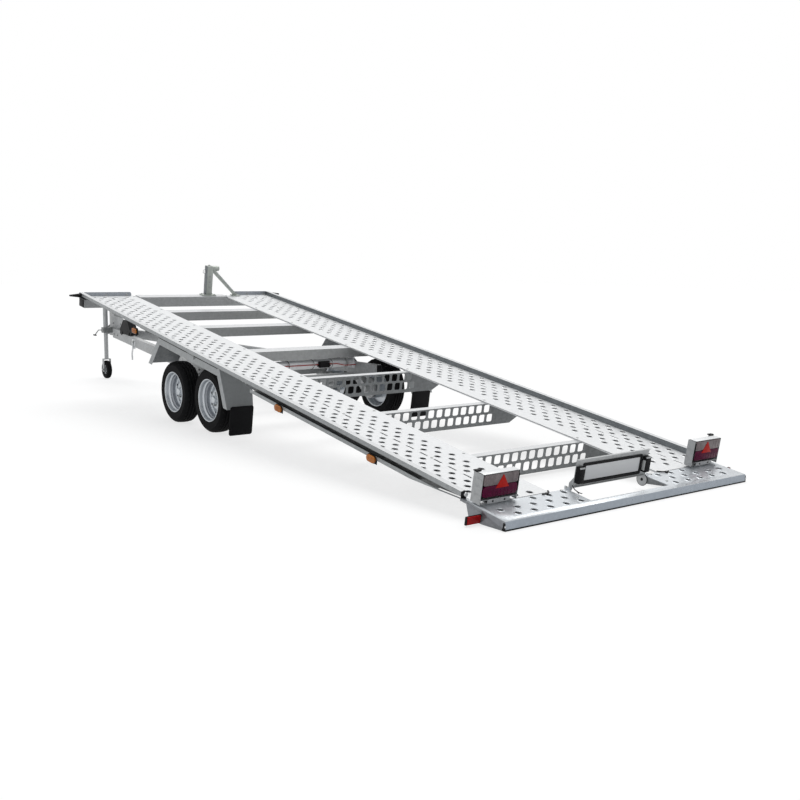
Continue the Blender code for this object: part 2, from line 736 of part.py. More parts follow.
def guard_points(inset):
    """Corners of the mudguard's outline from the rear foot to the front foot, drawn in."""
    rear = Vector((GUARD_TOP_S[0] - GUARD_LEG_S[0], GUARD_LEG_DOWN[0] - GUARD_TOP_DOWN))
    front = Vector((GUARD_LEG_S[1] - GUARD_TOP_S[1], GUARD_LEG_DOWN[1] - GUARD_TOP_DOWN))
    rear_step = inset * rear.length / rear.y
    front_step = inset * front.length / front.y
    rear_slope = rear.x / rear.y
    front_slope = front.x / front.y
    return [
        (GUARD_LEG_S[0] + rear_step, -GUARD_LEG_DOWN[0]),
        (GUARD_TOP_S[0] + rear_step - inset * rear_slope, -GUARD_TOP_DOWN - inset),
        (GUARD_TOP_S[1] - front_step + inset * front_slope, -GUARD_TOP_DOWN - inset),
        (GUARD_LEG_S[1] - front_step, -GUARD_LEG_DOWN[1])]


def mudguard(name, side):
    """Pressed guard over both wheels: sloping legs, flat top and a broad outer band."""
    outer = guard_points(0)
    shell = list(reversed(outer)) + guard_points(GUARD_SHEET)
    width = GUARD_OUTER - GUARD_INNER
    middle = side * (GUARD_OUTER + GUARD_INNER) / 2
    mesh = outline_mesh(name, [shell], width, "YZ", middle)
    item = finish(name, mesh, BODY, BED, BED_PLACE, "galvanised")
    low, high = span(side, GUARD_INNER - GUARD_BAND, GUARD_OUTER - GUARD_LEDGE)
    opening = box_mesh(
        name,
        (low, GUARD_TOP_S[0] + GUARD_SHEET * 2, -GUARD_TOP_DOWN - GUARD_SHEET * 2),
        (high, GUARD_TOP_S[1] - GUARD_SHEET * 2, -GUARD_TOP_DOWN + GUARD_SHEET))
    combine(item, opening, "DIFFERENCE")
    band = list(reversed(outer)) + guard_points(GUARD_BAND)
    middle = side * (GUARD_OUTER - GUARD_SHEET / 2)
    combine(item, outline_mesh(name, [band], GUARD_SHEET, "YZ", middle), "UNION")


def mudflap(name, side):
    """Rubber flap hung behind the guard's rear leg."""
    front = guard_points(0)[0][0] - GAP
    low, high = span(side, FLAP_INNER, FLAP_OUTER)
    mesh = box_mesh(
        name,
        (low, front - FLAP_THICK, -FLAP_BOTTOM_DOWN),
        (high, front, -FLAP_TOP_DOWN))
    finish(name, mesh, BODY, BED, BED_PLACE, "rubber")


def front_marker(name, side):
    """Rubber arm with a marker lamp's head, out from the rail's front corner."""
    start = side * (HALF_BED + GAP)
    end = start + side * MARKER_ARM_LENGTH
    height = RAIL_UP - RAIL_UPPER_LIP / 2
    mesh = rod_mesh(
        name,
        [(start, MARKER_ARM_S, height),
         (start + side * MARKER_ARM_RADIUS, MARKER_ARM_S, height),
         (end, MARKER_ARM_S, height + MARKER_RISE)],
        MARKER_ARM_RADIUS, 2)
    item = finish(name, mesh, BODY, BED, BED_PLACE, "rubber")
    low, high = span(side, HALF_BED + MARKER_ARM_LENGTH - MARKER_ARM_RADIUS,
                     HALF_BED + MARKER_ARM_LENGTH + MARKER_HEAD_LENGTH)
    half = MARKER_HEAD_WIDTH / 2
    rise = MARKER_HEAD_HEIGHT / 2
    middle = height + MARKER_RISE
    head = box_mesh(
        name, (low, MARKER_ARM_S - half, middle - rise), (high, MARKER_ARM_S + half, middle + rise))
    combine(item, head, "UNION")


# Lamps and number plate

def lamp_bracket(name, side, parent):
    """Folded bracket that swings on the pin at the outer end of its lamp."""
    low, high = span(side, LAMP_INNER, LAMP_OUTER)
    sheet = LAMP_SHEET
    mesh = box_mesh(
        name, (low, LAMP_BACK_S, LAMP_FLOOR), (high, LAMP_BACK_S + sheet, LAMP_TOP))
    item = finish(name, mesh, BODY, parent, lamp_place(side), "galvanised")
    for near, far in ((LAMP_OUTER - sheet, LAMP_OUTER), (LAMP_INNER, LAMP_INNER + sheet)):
        low, high = span(side, near, far)
        cheek = box_mesh(
            name, (low, LAMP_SIDE_END_S, LAMP_FLOOR), (high, LAMP_BACK_S + sheet / 2, LAMP_TOP))
        combine(item, cheek, "UNION")
    low, high = span(side, LAMP_INNER + sheet / 2, LAMP_OUTER - sheet / 2)
    shelf = box_mesh(
        name, (low, LAMP_SIDE_END_S, LAMP_SHELF_H - sheet), (high, LAMP_BACK_S, LAMP_SHELF_H))
    combine(item, shelf, "UNION")
    low, high = span(side, LAMP_PIN_X - LAMP_KNUCKLE_RADIUS, LAMP_OUTER - sheet / 2)
    knuckle = box_mesh(
        name,
        (low, LAMP_BACK_S + sheet / 2, LAMP_FLOOR),
        (high, LAMP_PIN_S + LAMP_KNUCKLE_RADIUS, LAMP_TOP))
    combine(item, knuckle, "UNION")
    bore_radius = (LAMP_PIN_RADIUS + RUNNING_GAP / 2) / math.cos(math.pi / WHEEL_SEGMENTS * 2)
    bore = cylinder_mesh(
        name, (side * LAMP_PIN_X, LAMP_PIN_S, LAMP_TOP / 2), bore_radius, LAMP_TOP * 2, "Z",
        WHEEL_SEGMENTS // 2)
    combine(item, bore, "DIFFERENCE")


def lamp_place(side):
    """The bed's place seen from the lamp's hinge."""
    return (-side * LAMP_PIN_X, -LAMP_PIN_S, 0)


def lamp_lens(name, side, parent):
    """Lens block of the combined lamp, its front edges rounded off."""
    near = LAMP_INNER + LAMP_SHEET + GAP
    far = LAMP_OUTER - LAMP_SHEET - GAP
    corner = LAMP_LENS_CORNER
    outline = [
        (near, LAMP_LENS_BACK_S), (near, LAMP_LENS_FRONT_S + corner),
        (near + corner, LAMP_LENS_FRONT_S), (far - corner, LAMP_LENS_FRONT_S),
        (far, LAMP_LENS_FRONT_S + corner), (far, LAMP_LENS_BACK_S)]
    height = LAMP_LENS_HIGH - LAMP_LENS_LOW
    middle = (LAMP_LENS_HIGH + LAMP_LENS_LOW) / 2
    mesh = outline_mesh(name, [mirrored(outline, side)], height, "XY", middle)
    finish(name, mesh, BODY, parent, lamp_place(side), "red_lens")


def plate_holder(name, parent, place):
    """Backing tray for the number plate, with a rim, two lamps and two hinge ears."""
    sheet = HOLDER_SHEET
    front = HOLDER_S
    rim = front - HOLDER_RIM
    half = HOLDER_HALF
    mesh = box_mesh(name, (-half, front, HOLDER_LOW), (half, front + sheet, HOLDER_HIGH))
    item = finish(name, mesh, BODY, parent, place, "galvanised")
    for low, high in ((HOLDER_LOW, HOLDER_LOW + sheet), (HOLDER_HIGH - sheet, HOLDER_HIGH)):
        edge = box_mesh(name, (-half, rim, low), (half, front + sheet / 2, high))
        combine(item, edge, "UNION")
    for side in SIDES.values():
        low, high = span(side, half - HOLDER_EAR_THICK, half)
        ear = [
            (HOLDER_HINGE_S + HOLDER_EAR_RADIUS * 3 / 4, HOLDER_HINGE_H - HOLDER_EAR_RADIUS * 3 / 4),
            (HOLDER_HINGE_S + HOLDER_EAR_RADIUS * 3 / 4, HOLDER_HINGE_H + HOLDER_EAR_RADIUS * 2),
            (front + sheet / 2, HOLDER_LOW + HOLDER_EAR_RADIUS * 4),
            (front + sheet / 2, HOLDER_LOW + sheet / 2),
            (HOLDER_HINGE_S - HOLDER_EAR_RADIUS * 3 / 4, HOLDER_HINGE_H - HOLDER_EAR_RADIUS * 3 / 4)]
        bore_radius = (HOLDER_PIN_RADIUS + RUNNING_GAP / 2) / math.cos(math.pi / WHEEL_SEGMENTS * 2)
        bore = []
        for step in range(WHEEL_SEGMENTS // 2):
            angle = math.tau * step / (WHEEL_SEGMENTS // 2)
            bore.append((
                HOLDER_HINGE_S + bore_radius * math.cos(angle),
                HOLDER_HINGE_H + bore_radius * math.sin(angle)))
        lug = outline_mesh(name, [ear, bore], HOLDER_EAR_THICK, "YZ", (low + high) / 2)
        combine(item, lug, "UNION")
        low, high = span(side, PLATE_LAMP_INNER, PLATE_LAMP_OUTER)
        lamp = box_mesh(
            name,
            (low, front - PLATE_LAMP_DEPTH, PLATE_LAMP_LOW),
            (high, front + sheet / 2, PLATE_LAMP_LOW + PLATE_LAMP_HEIGHT))
        combine(item, lamp, "UNION")


def number_plate(name, parent, place):
    """Blank number plate on the tray."""
    corner = PLATE_THICK * 2
    low = PLATE_LOW
    high = PLATE_LOW + PLATE_HEIGHT
    half = PLATE_HALF
    outline = [
        (-half + corner, low), (half - corner, low), (half, low + corner), (half, high - corner),
        (half - corner, high), (-half + corner, high), (-half, high - corner), (-half, low + corner)]
    middle = HOLDER_S - GAP - PLATE_THICK / 2
    mesh = outline_mesh(name, [outline], PLATE_THICK, "XZ", middle)
    finish(name, mesh, BODY, parent, place, "plate")


# Chassis pieces

def arm_bottom(along):
    """Height of the underside of the drawbar's arms."""
    if along <= ARM_BEND_Y:
        return ARM_BOTTOM
    share = (along - ARM_BEND_Y) / (ARM_NOSE_Y - ARM_BEND_Y)
    return ARM_BOTTOM + (ARM_NOSE_BOTTOM - ARM_BOTTOM) * share


def arm_inner(along):
    """Distance from the middle to the inner face of the drawbar's arms."""
    if along <= ARM_BEND_Y:
        return ARM_INNER
    share = (along - ARM_BEND_Y) / (ARM_NOSE_Y - ARM_BEND_Y)
    return ARM_INNER + (ARM_NOSE_INNER - ARM_INNER) * share


def drawbar_arm(name, side):
    """Box beam beside the wheels that bends in to meet the other at the nose."""
    rings = []
    for along in (ARM_REAR_Y, ARM_BEND_Y, ARM_NOSE_Y):
        bottom = arm_bottom(along)
        inner = arm_inner(along)
        rings.append([
            (side * inner, along, bottom), (side * (inner + ARM_WIDTH), along, bottom),
            (side * (inner + ARM_WIDTH), along, bottom + ARM_HEIGHT),
            (side * inner, along, bottom + ARM_HEIGHT)])
    item = finish(name, loft_mesh(name, rings), BODY, CHASSIS, (0, 0, 0), "galvanised")
    if side < 0:
        hanging_lever(item)


def hanging_lever(item):
    """Bracket and hanging rod under the left arm."""
    bottom = arm_bottom(LEVER_Y)
    across = -arm_inner(LEVER_Y) - ARM_WIDTH / 2
    half = LEVER_BRACKET_LENGTH / 2
    bracket = box_mesh(
        item.name,
        (across - LEVER_BRACKET_THICK / 2, LEVER_Y - half, bottom - LEVER_BRACKET_DOWN),
        (across + LEVER_BRACKET_THICK / 2, LEVER_Y + half, bottom + LEVER_BRACKET_THICK))
    combine(item, bracket, "UNION")
    rod = rod_mesh(
        item.name,
        [(across, LEVER_Y, bottom - LEVER_BRACKET_DOWN / 2),
         (across, LEVER_Y + LEVER_RADIUS, bottom - LEVER_BRACKET_DOWN),
         (across, LEVER_Y + LEVER_RADIUS * 4, bottom - LEVER_DROP)],
        LEVER_RADIUS, 1)
    combine(item, rod, "UNION")


def pivot_tube(name):
    """Round tube between the arms that the bed tips about."""
    flange = PIVOT_FLANGE_THICK
    length = 2 * (ARM_INNER - GAP)
    mesh = cylinder_mesh(
        name, (0, PIVOT_Y, PIVOT_Z), PIVOT_TUBE_RADIUS, length, "X", WHEEL_SEGMENTS)
    item = finish(name, mesh, BODY, CHASSIS, (0, 0, 0), "galvanised")
    for side in SIDES.values():
        low, high = span(side, ARM_INNER - GAP - flange, ARM_INNER - GAP)
        half = PIVOT_FLANGE_HALF
        pad = box_mesh(
            name, (low, PIVOT_Y - half, PIVOT_Z - half), (high, PIVOT_Y + half, PIVOT_Z + half))
        combine(item, pad, "UNION")


def axle(name, wheel_y):
    """Axle tube on pads under the arms, with swing arms, brake plates and stub axles."""
    half = AXLE_SIZE / 2
    middle_y = wheel_y + AXLE_LEAD
    top = ARM_BOTTOM - GAP - AXLE_PAD
    middle_z = top - half
    mesh = box_mesh(
        name, (-AXLE_HALF, middle_y - half, middle_z - half), (AXLE_HALF, middle_y + half, top))
    item = finish(name, mesh, BODY, CHASSIS, (0, 0, 0), "galvanised")
    for side in SIDES.values():
        low, high = span(side, ARM_INNER, ARM_INNER + ARM_WIDTH)
        pad = box_mesh(
            name,
            (low, middle_y - AXLE_PAD_HALF, top - AXLE_PAD),
            (high, middle_y + AXLE_PAD_HALF, top + AXLE_PAD))
        combine(item, pad, "UNION")
        start = AXLE_HALF - half
        end = AXLE_HALF + SWING_ARM_THICK
        outline = swing_outline(middle_y, middle_z, wheel_y, TYRE_RADIUS)
        arm = outline_mesh(name, [outline], end - start, "YZ", side * (start + end) / 2)
        combine(item, arm, "UNION")
        plate_end = end + BACKPLATE_THICK
        low, high = span(side, end - BACKPLATE_THICK, plate_end)
        drum = cylinder_mesh(
            name, ((low + high) / 2, wheel_y, TYRE_RADIUS), BACKPLATE_RADIUS, high - low, "X",
            WHEEL_SEGMENTS)
        combine(item, drum, "UNION")
        low, high = span(side, end, STUB_END)
        stub = cylinder_mesh(
            name, ((low + high) / 2, wheel_y, TYRE_RADIUS), STUB_RADIUS, high - low, "X",
            WHEEL_SEGMENTS)
        combine(item, stub, "UNION")


def swing_outline(tube_y, tube_z, wheel_y, wheel_z):
    """Arm from the axle tube to the wheel centre, round at both ends."""
    points = []
    lean = math.atan2(wheel_z - tube_z, wheel_y - tube_y)
    steps = WHEEL_SEGMENTS // 4
    for centre_y, centre_z, start in (
            (wheel_y, wheel_z, lean - math.pi / 2), (tube_y, tube_z, lean + math.pi / 2)):
        for step in range(steps + 1):
            angle = start + math.pi * step / steps
            points.append((
                centre_y + SWING_ARM_RADIUS * math.cos(angle),
                centre_z + SWING_ARM_RADIUS * math.sin(angle)))
    return points


def tyre(name, side, wheel_y):
    """Tyre as a hollow ring, its bead seated on the rim."""
    half = TYRE_WIDTH / 2
    rise = TYRE_RADIUS - BEAD_RADIUS
    wall = TYRE_WIDTH / 15
    shoulder = half - rise / 6
    loop = [
        (TYRE_RADIUS - rise / 16, shoulder), (TYRE_RADIUS, shoulder / 2),
        (TYRE_RADIUS, -shoulder / 2), (TYRE_RADIUS - rise / 16, -shoulder),
        (TYRE_RADIUS - rise / 4, -half + wall / 6), (BEAD_RADIUS + rise / 2, -half),
        (BEAD_RADIUS + rise / 8, -BEAD_HALF), (BEAD_RADIUS, -BEAD_HALF),
        (BEAD_RADIUS, -BEAD_HALF + wall), (BEAD_RADIUS + rise / 2, -half + wall),
        (TYRE_RADIUS - wall, -shoulder), (TYRE_RADIUS - wall, shoulder),
        (BEAD_RADIUS + rise / 2, half - wall), (BEAD_RADIUS, BEAD_HALF - wall),
        (BEAD_RADIUS, BEAD_HALF), (BEAD_RADIUS + rise / 8, BEAD_HALF),
        (BEAD_RADIUS + rise / 2, half), (TYRE_RADIUS - rise / 4, half - wall / 6)]
    turned(name, loop, WHEEL_SEGMENTS, CHASSIS, (side * WHEEL_MIDDLE, wheel_y, TYRE_RADIUS),
           side, "tyre")


def rim(name, side, wheel_y):
    """Deep dished rim with its disc, brake drum and hub cap, bored for the stub axle."""
    seat = BEAD_RADIUS - GAP
    edge = BEAD_HALF + GAP
    out = edge + RIM_FLANGE_THICK
    wall = RIM_WALL
    bore = (STUB_RADIUS + RUNNING_GAP / 2) / math.cos(math.pi / WHEEL_SEGMENTS)
    drum_back = AXLE_HALF + SWING_ARM_THICK + BACKPLATE_THICK * 2 - WHEEL_MIDDLE
    disc = RIM_DISC_OUT
    step = wall * 2
    loop = [
        (RIM_FLANGE_RADIUS, out), (RIM_FLANGE_RADIUS, edge), (seat, edge),
        (seat, step * 3), (RIM_WELL_RADIUS, step * 2), (RIM_WELL_RADIUS, -step),
        (seat, -step * 2), (seat, -edge), (RIM_FLANGE_RADIUS, -edge),
        (RIM_FLANGE_RADIUS, -out), (seat - wall, -out), (seat - wall, -step * 5 / 2),
        (RIM_WELL_RADIUS - wall, -step * 2), (RIM_DRUM_RADIUS, disc - wall),
        (RIM_DRUM_RADIUS, drum_back), (bore, drum_back), (bore, RIM_HUB_OUT),
        (RIM_HUB_RADIUS, RIM_HUB_OUT), (RIM_HUB_RADIUS, disc), (RIM_DRUM_RADIUS, disc),
        (RIM_WELL_RADIUS - wall, -step), (RIM_WELL_RADIUS - wall, step * 2),
        (seat - wall, step * 3), (seat - wall, out)]
    turned(name, loop, WHEEL_SEGMENTS, CHASSIS, (side * WHEEL_MIDDLE, wheel_y, TYRE_RADIUS),
           side, "rim")


def nose_bottom():
    return arm_bottom(ARM_NOSE_Y) + NOSE_LIFT


def nose_housing(name):
    """Overrun housing between the arms, with its shaft and the upright control plate."""
    half = NOSE_WIDTH / 2
    bottom = nose_bottom()
    top = bottom + NOSE_HEIGHT
    mesh = box_mesh(name, (-half, NOSE_BACK_Y, bottom), (half, NOSE_FRONT_Y, top))
    item = finish(name, mesh, BODY, CHASSIS, (0, 0, 0), "galvanised")
    shaft = cylinder_mesh(
        name, (0, NOSE_FRONT_Y + NOSE_SHAFT_OUT / 4, (bottom + top) / 2), NOSE_SHAFT_RADIUS,
        NOSE_SHAFT_OUT * 3 / 2, "Y", WHEEL_SEGMENTS // 2)
    combine(item, shaft, "UNION")
    plate = [
        (CONTROL_PLATE_BACK_Y, top - CONTROL_PLATE_THICK),
        (CONTROL_PLATE_FRONT_Y, top - CONTROL_PLATE_THICK),
        (CONTROL_PLATE_FRONT_Y, top + CONTROL_PLATE_TOP),
        (CONTROL_PLATE_BACK_Y + CONTROL_PLATE_SLANT, top + CONTROL_PLATE_TOP),
        (CONTROL_PLATE_BACK_Y, top + CONTROL_PLATE_TOP - CONTROL_PLATE_SLANT)]
    combine(item, outline_mesh(name, [plate], CONTROL_PLATE_THICK, "YZ", 0), "UNION")
    cut_nose_sides(item, bottom, top)


def cut_nose_sides(item, bottom, top):
    """Trim the housing to the arms that close in on it."""
    for side in SIDES.values():
        low = arm_inner(NOSE_BACK_Y - NOSE_WIDTH) - GAP * 2
        high = arm_inner(ARM_NOSE_Y) - GAP * 2
        corners = [
            (low, NOSE_BACK_Y - NOSE_WIDTH), (high, ARM_NOSE_Y),
            (high + NOSE_WIDTH, ARM_NOSE_Y), (low + NOSE_WIDTH, NOSE_BACK_Y - NOSE_WIDTH)]
        wedge = outline_mesh(
            item.name, [mirrored(list(reversed(corners)), side)], (top - bottom) * 2, "XY",
            (top + bottom) / 2)
        combine(item, wedge, "DIFFERENCE")


def coupling_head(name):
    """Ball coupling with a round nose, a socket below and a lifted handle."""
    bottom = nose_bottom() + (NOSE_HEIGHT - HEAD_HEIGHT) / 2
    back = NOSE_FRONT_Y + NOSE_SHAFT_OUT + GAP
    centre = COUPLING_FRONT_Y - HEAD_NOSE_RADIUS
    half = HEAD_WIDTH / 2
    outline = [(-half, back), (half, back)]
    steps = WHEEL_SEGMENTS // 3
    for step in range(steps + 1):
        angle = math.pi * step / steps
        outline.append((
            HEAD_NOSE_RADIUS * math.cos(angle), centre + HEAD_NOSE_RADIUS * math.sin(angle)))
    mesh = outline_mesh(name, [outline], HEAD_HEIGHT, "XY", bottom + HEAD_HEIGHT / 2)
    item = finish(name, mesh, BODY, CHASSIS, (0, 0, 0), "cast")
    socket = cylinder_mesh(
        name, (0, centre, bottom), HEAD_SOCKET_RADIUS, HEAD_SOCKET_DEPTH * 2, "Z",
        WHEEL_SEGMENTS)
    combine(item, socket, "DIFFERENCE")
    top = bottom + HEAD_HEIGHT
    handle = [
        (centre, top - HEAD_HANDLE_THICK), (centre, top + HEAD_HANDLE_THICK),
        (centre - HEAD_HANDLE_LENGTH, top + HEAD_HANDLE_THICK * 4),
        (centre - HEAD_HANDLE_LENGTH, top + HEAD_HANDLE_THICK * 3),
        (centre - HEAD_HANDLE_THICK * 2, top - HEAD_HANDLE_THICK)]
    combine(item, outline_mesh(name, [handle], HEAD_HANDLE_THICK * 2, "YZ", 0), "UNION")


def jockey_tube(name):
    """Outer tube of the jockey wheel, closed on top, with its crank."""
    radius = JOCKEY_TUBE_RADIUS
    middle = (JOCKEY_TUBE_LOW + JOCKEY_TUBE_HIGH) / 2
    length = JOCKEY_TUBE_HIGH - JOCKEY_TUBE_LOW
    place = (JOCKEY_X, JOCKEY_Y, middle)
    mesh = cylinder_mesh(name, place, radius, length, "Z", WHEEL_SEGMENTS // 2)
    item = finish(name, mesh, BODY, CHASSIS, (0, 0, 0), "galvanised")
    bore = cylinder_mesh(
        name, (JOCKEY_X, JOCKEY_Y, middle - JOCKEY_TUBE_WALL * 2), radius - JOCKEY_TUBE_WALL,
        length, "Z", WHEEL_SEGMENTS // 2)
    combine(item, bore, "DIFFERENCE")
    top = JOCKEY_TUBE_HIGH
    crank = rod_mesh(
        name,
        [(JOCKEY_X, JOCKEY_Y, top - JOCKEY_TUBE_WALL), (JOCKEY_X, JOCKEY_Y, top + CRANK_RISE),
         (JOCKEY_X, JOCKEY_Y - CRANK_REACH, top + CRANK_RISE),
         (JOCKEY_X, JOCKEY_Y - CRANK_REACH, top + CRANK_RISE - CRANK_GRIP)],
        CRANK_RADIUS, 1)
    combine(item, crank, "UNION")


def jockey_clamp(name):
    """Clamp that holds the outer tube to the left of the housing, with its handle."""
    nose = -NOSE_WIDTH / 2 - GAP
    left = JOCKEY_X - CLAMP_HALF
    high = CLAMP_LOW + CLAMP_HEIGHT
    mesh = box_mesh(
        name,
        (left, JOCKEY_Y - CLAMP_HALF, CLAMP_LOW), (nose, JOCKEY_Y + CLAMP_HALF, high))
    item = finish(name, mesh, BODY, CHASSIS, (0, 0, 0), "cast")
    bore = cylinder_mesh(
        name, (JOCKEY_X, JOCKEY_Y, CLAMP_LOW), JOCKEY_TUBE_RADIUS + GAP * 2,
        CLAMP_HEIGHT * 3, "Z", WHEEL_SEGMENTS // 2)
    combine(item, bore, "DIFFERENCE")
    middle = CLAMP_LOW + CLAMP_HEIGHT / 2
    grip = rod_mesh(
        name,
        [(left + CLAMP_HANDLE_RADIUS, JOCKEY_Y + CLAMP_HALF / 2, middle),
         (left - CLAMP_HANDLE_OUT / 2, JOCKEY_Y + CLAMP_HALF / 2, middle),
         (left - CLAMP_HANDLE_OUT, JOCKEY_Y + CLAMP_HALF / 2, middle - CLAMP_HANDLE_DROP)],
        CLAMP_HANDLE_RADIUS, 1)
    combine(item, grip, "UNION")


def jockey_leg(name, parent, place):
    """Inner tube with the fork and axle of the jockey wheel."""
    length = JOCKEY_LEG_TOP - JOCKEY_CROWN
    mesh = cylinder_mesh(
        name, (JOCKEY_X, JOCKEY_Y, JOCKEY_CROWN + length / 2), JOCKEY_LEG_RADIUS, length, "Z",
        WHEEL_SEGMENTS // 2)
    item = finish(name, mesh, BODY, parent, place, "galvanised")
    width = JOCKEY_FORK_WIDTH / 2
    outer = JOCKEY_FORK_HALF + JOCKEY_FORK_THICK
    crown = box_mesh(
        name,
        (JOCKEY_X - outer, JOCKEY_Y - width, JOCKEY_CROWN - JOCKEY_FORK_THICK),
        (JOCKEY_X + outer, JOCKEY_Y + width, JOCKEY_CROWN + JOCKEY_FORK_THICK))
    combine(item, crown, "UNION")
    for side in SIDES.values():
        low, high = span(side, JOCKEY_FORK_HALF, outer)
        prong = box_mesh(
            name,
            (JOCKEY_X + low, JOCKEY_Y - width, JOCKEY_WHEEL_RADIUS - width),
            (JOCKEY_X + high, JOCKEY_Y + width, JOCKEY_CROWN))
        combine(item, prong, "UNION")
    axle_bar = cylinder_mesh(
        name, (JOCKEY_X, JOCKEY_Y, JOCKEY_WHEEL_RADIUS), JOCKEY_AXLE_RADIUS,
        2 * outer + JOCKEY_FORK_THICK * 2, "X", WHEEL_SEGMENTS // 2)
    combine(item, axle_bar, "UNION")


def jockey_wheel(name, parent, place):
    """Small solid wheel with a waisted hub."""
    half = JOCKEY_WHEEL_HALF
    radius = JOCKEY_WHEEL_RADIUS
    hub = JOCKEY_HUB_RADIUS
    bore = (JOCKEY_AXLE_RADIUS + RUNNING_GAP / 2) / math.cos(math.pi / WHEEL_SEGMENTS * 2)
    corner = half / 3
    loop = [
        (radius - corner, half), (radius, half - corner), (radius, corner - half),
        (radius - corner, -half), (hub + corner, -half), (hub, corner - half),
        (hub / 2, corner - half), (hub / 2, -half), (bore, -half), (bore, half),
        (hub / 2, half), (hub / 2, half - corner), (hub, half - corner), (hub + corner, half)]
    middle = (place[0] + JOCKEY_X, place[1] + JOCKEY_Y, place[2] + JOCKEY_WHEEL_RADIUS)
    turned(name, loop, WHEEL_SEGMENTS, parent, middle, 1, "rubber")


def chock(name):
    """Wheel chock stowed on top of the left arm."""
    along = CHOCK_Y
    base = arm_bottom(along + CHOCK_LENGTH / 2) + ARM_HEIGHT + GAP
    half = CHOCK_LENGTH / 2
    across = -arm_inner(along) - ARM_WIDTH / 2
    outline = [
        (along - half, base), (along + half, base),
        (along + half, base + CHOCK_HEIGHT * CHOCK_TOP_SHARE),
        (along + half * CHOCK_TOP_SHARE, base + CHOCK_HEIGHT),
        (along - half * CHOCK_TOP_SHARE, base + CHOCK_HEIGHT),
        (along - half + CHOCK_LENGTH * CHOCK_NOTCH_SHARE, base + CHOCK_HEIGHT * CHOCK_TOP_SHARE),
        (along - half, base + CHOCK_HEIGHT * CHOCK_NOTCH_SHARE)]
    mesh = outline_mesh(name, [outline], CHOCK_THICK, "YZ", across)
    finish(name, mesh, BODY, CHASSIS, (0, 0, 0), "black")


def brake_cable(name):
    """Cable across the rear of the pivot tube, clear of the lugs on the way."""
    hug = PIVOT_TUBE_RADIUS + CABLE_RADIUS + GAP
    drop = -CABLE_BYPASS * CABLE_DROP_SHARE
    end = ARM_INNER - PIVOT_FLANGE_THICK
    path = []
    for side in (-1, 1):
        leg = [
            (side * end, PIVOT_Y - CABLE_BYPASS, PIVOT_Z + drop),
            (side * CABLE_TURN_HALF, PIVOT_Y - CABLE_BYPASS, PIVOT_Z + drop),
            (side * CABLE_HUG_HALF, PIVOT_Y - hug, PIVOT_Z)]
        path.extend(leg if side < 0 else reversed(leg))
    mesh = rod_mesh(name, path, CABLE_RADIUS, 1)
    finish(name, mesh, BODY, CHASSIS, (0, 0, 0), "red_cable")


def build_chassis():
    for word, side in SIDES.items():
        drawbar_arm("drawbar_arm_" + word, side)
    pivot_tube("pivot_tube")
    nose_housing("nose_housing")
    coupling_head("coupling_head")
    jockey_clamp("jockey_clamp")
    jockey_tube("jockey_tube")
    chock("wheel_chock")
    brake_cable("brake_cable")
    for place, wheel_y in WHEEL_Y.items():
        axle("axle_" + place, wheel_y)
        for word, side in SIDES.items():
            tyre("tyre_" + place + "_" + word, side, wheel_y)
            rim("rim_" + place + "_" + word, side, wheel_y)
    leg = empty("jockey_axis", CHASSIS, (JOCKEY_X, JOCKEY_Y, JOCKEY_WHEEL_RADIUS))
    place = (-JOCKEY_X, -JOCKEY_Y, -JOCKEY_WHEEL_RADIUS)
    jockey_leg("jockey_leg", leg, place)
    jockey_wheel("jockey_wheel", leg, place)


def build_bed():
    front_beam("front_beam")
    names = ("cross_beam_front", "cross_beam_middle", "cross_beam_pivot")
    for name, position in zip(names, PLAIN_BEAM_S):
        if name == "cross_beam_pivot":
            pivot_beam(name, position)
        else:
            plain_beam(name, position)
    names = ("slotted_beam_front", "slotted_beam_middle", "slotted_beam_rear")
    for name, position in zip(names, SLOTTED_BEAM_S):
        slotted_beam(name, position)
    for word, side in SIDES.items():
        side_beam("side_beam_" + word, side)
        track("track_" + word, side)
        headboard("headboard_" + word, side)
        mudguard("mudguard_" + word, side)
        mudflap("mudflap_" + word, side)
        front_marker("front_marker_" + word, side)
    tail_plate("tail_plate")
    winch_post("winch_post")


def build_rear_lights():
    for word, side in SIDES.items():
        hinge = empty(
            "lamp_axis_" + word, BED,
            (side * LAMP_PIN_X, LAMP_PIN_S + BED_PLACE[1], BED_PLACE[2]))
        lamp_bracket("lamp_bracket_" + word, side, hinge)
        lamp_lens("tail_lamp_" + word, side, hinge)
    hinge = empty(
        "plate_axis", BED, (0, HOLDER_HINGE_S + BED_PLACE[1], HOLDER_HINGE_H + BED_PLACE[2]))
    place = (0, -HOLDER_HINGE_S, -HOLDER_HINGE_H)
    plate_holder("plate_holder", hinge, place)
    number_plate("number_plate", hinge, place)


def empty(name, parent, place):
    item = bpy.data.objects.new(name, None)
    BODY.objects.link(item)
    item.parent = parent
    item.location = place
    return item


clear_scene()
BODY = new_collection("tilting_car_trailer")
CUTTERS = new_collection("cutters")
STEEL.update({
    "galvanised": ((0.52, 0.54, 0.55), 0.85, 0.42),
    "track": ((0.66, 0.67, 0.68), 0.8, 0.38),
    "tail": ((0.50, 0.54, 0.58), 0.75, 0.4),
    "cast": ((0.20, 0.21, 0.22), 0.6, 0.5),
    "tyre": ((0.02, 0.02, 0.022), 0, 0.8),
    "rubber": ((0.02, 0.02, 0.02), 0, 0.75),
    "black": ((0.015, 0.015, 0.015), 0, 0.6),
    "rim": ((0.55, 0.56, 0.58), 0.9, 0.35),
    "red_lens": ((0.25, 0.01, 0.02), 0, 0.15),
    "plate": ((0.75, 0.75, 0.73), 0, 0.4),
    "red_cable": ((0.5, 0.04, 0.03), 0, 0.5),
})
CHASSIS = empty("chassis_frame", None, (0, -MIDDLE_Y, 0))
BED = empty("bed_axis", CHASSIS, (0, PIVOT_Y, PIVOT_Z))
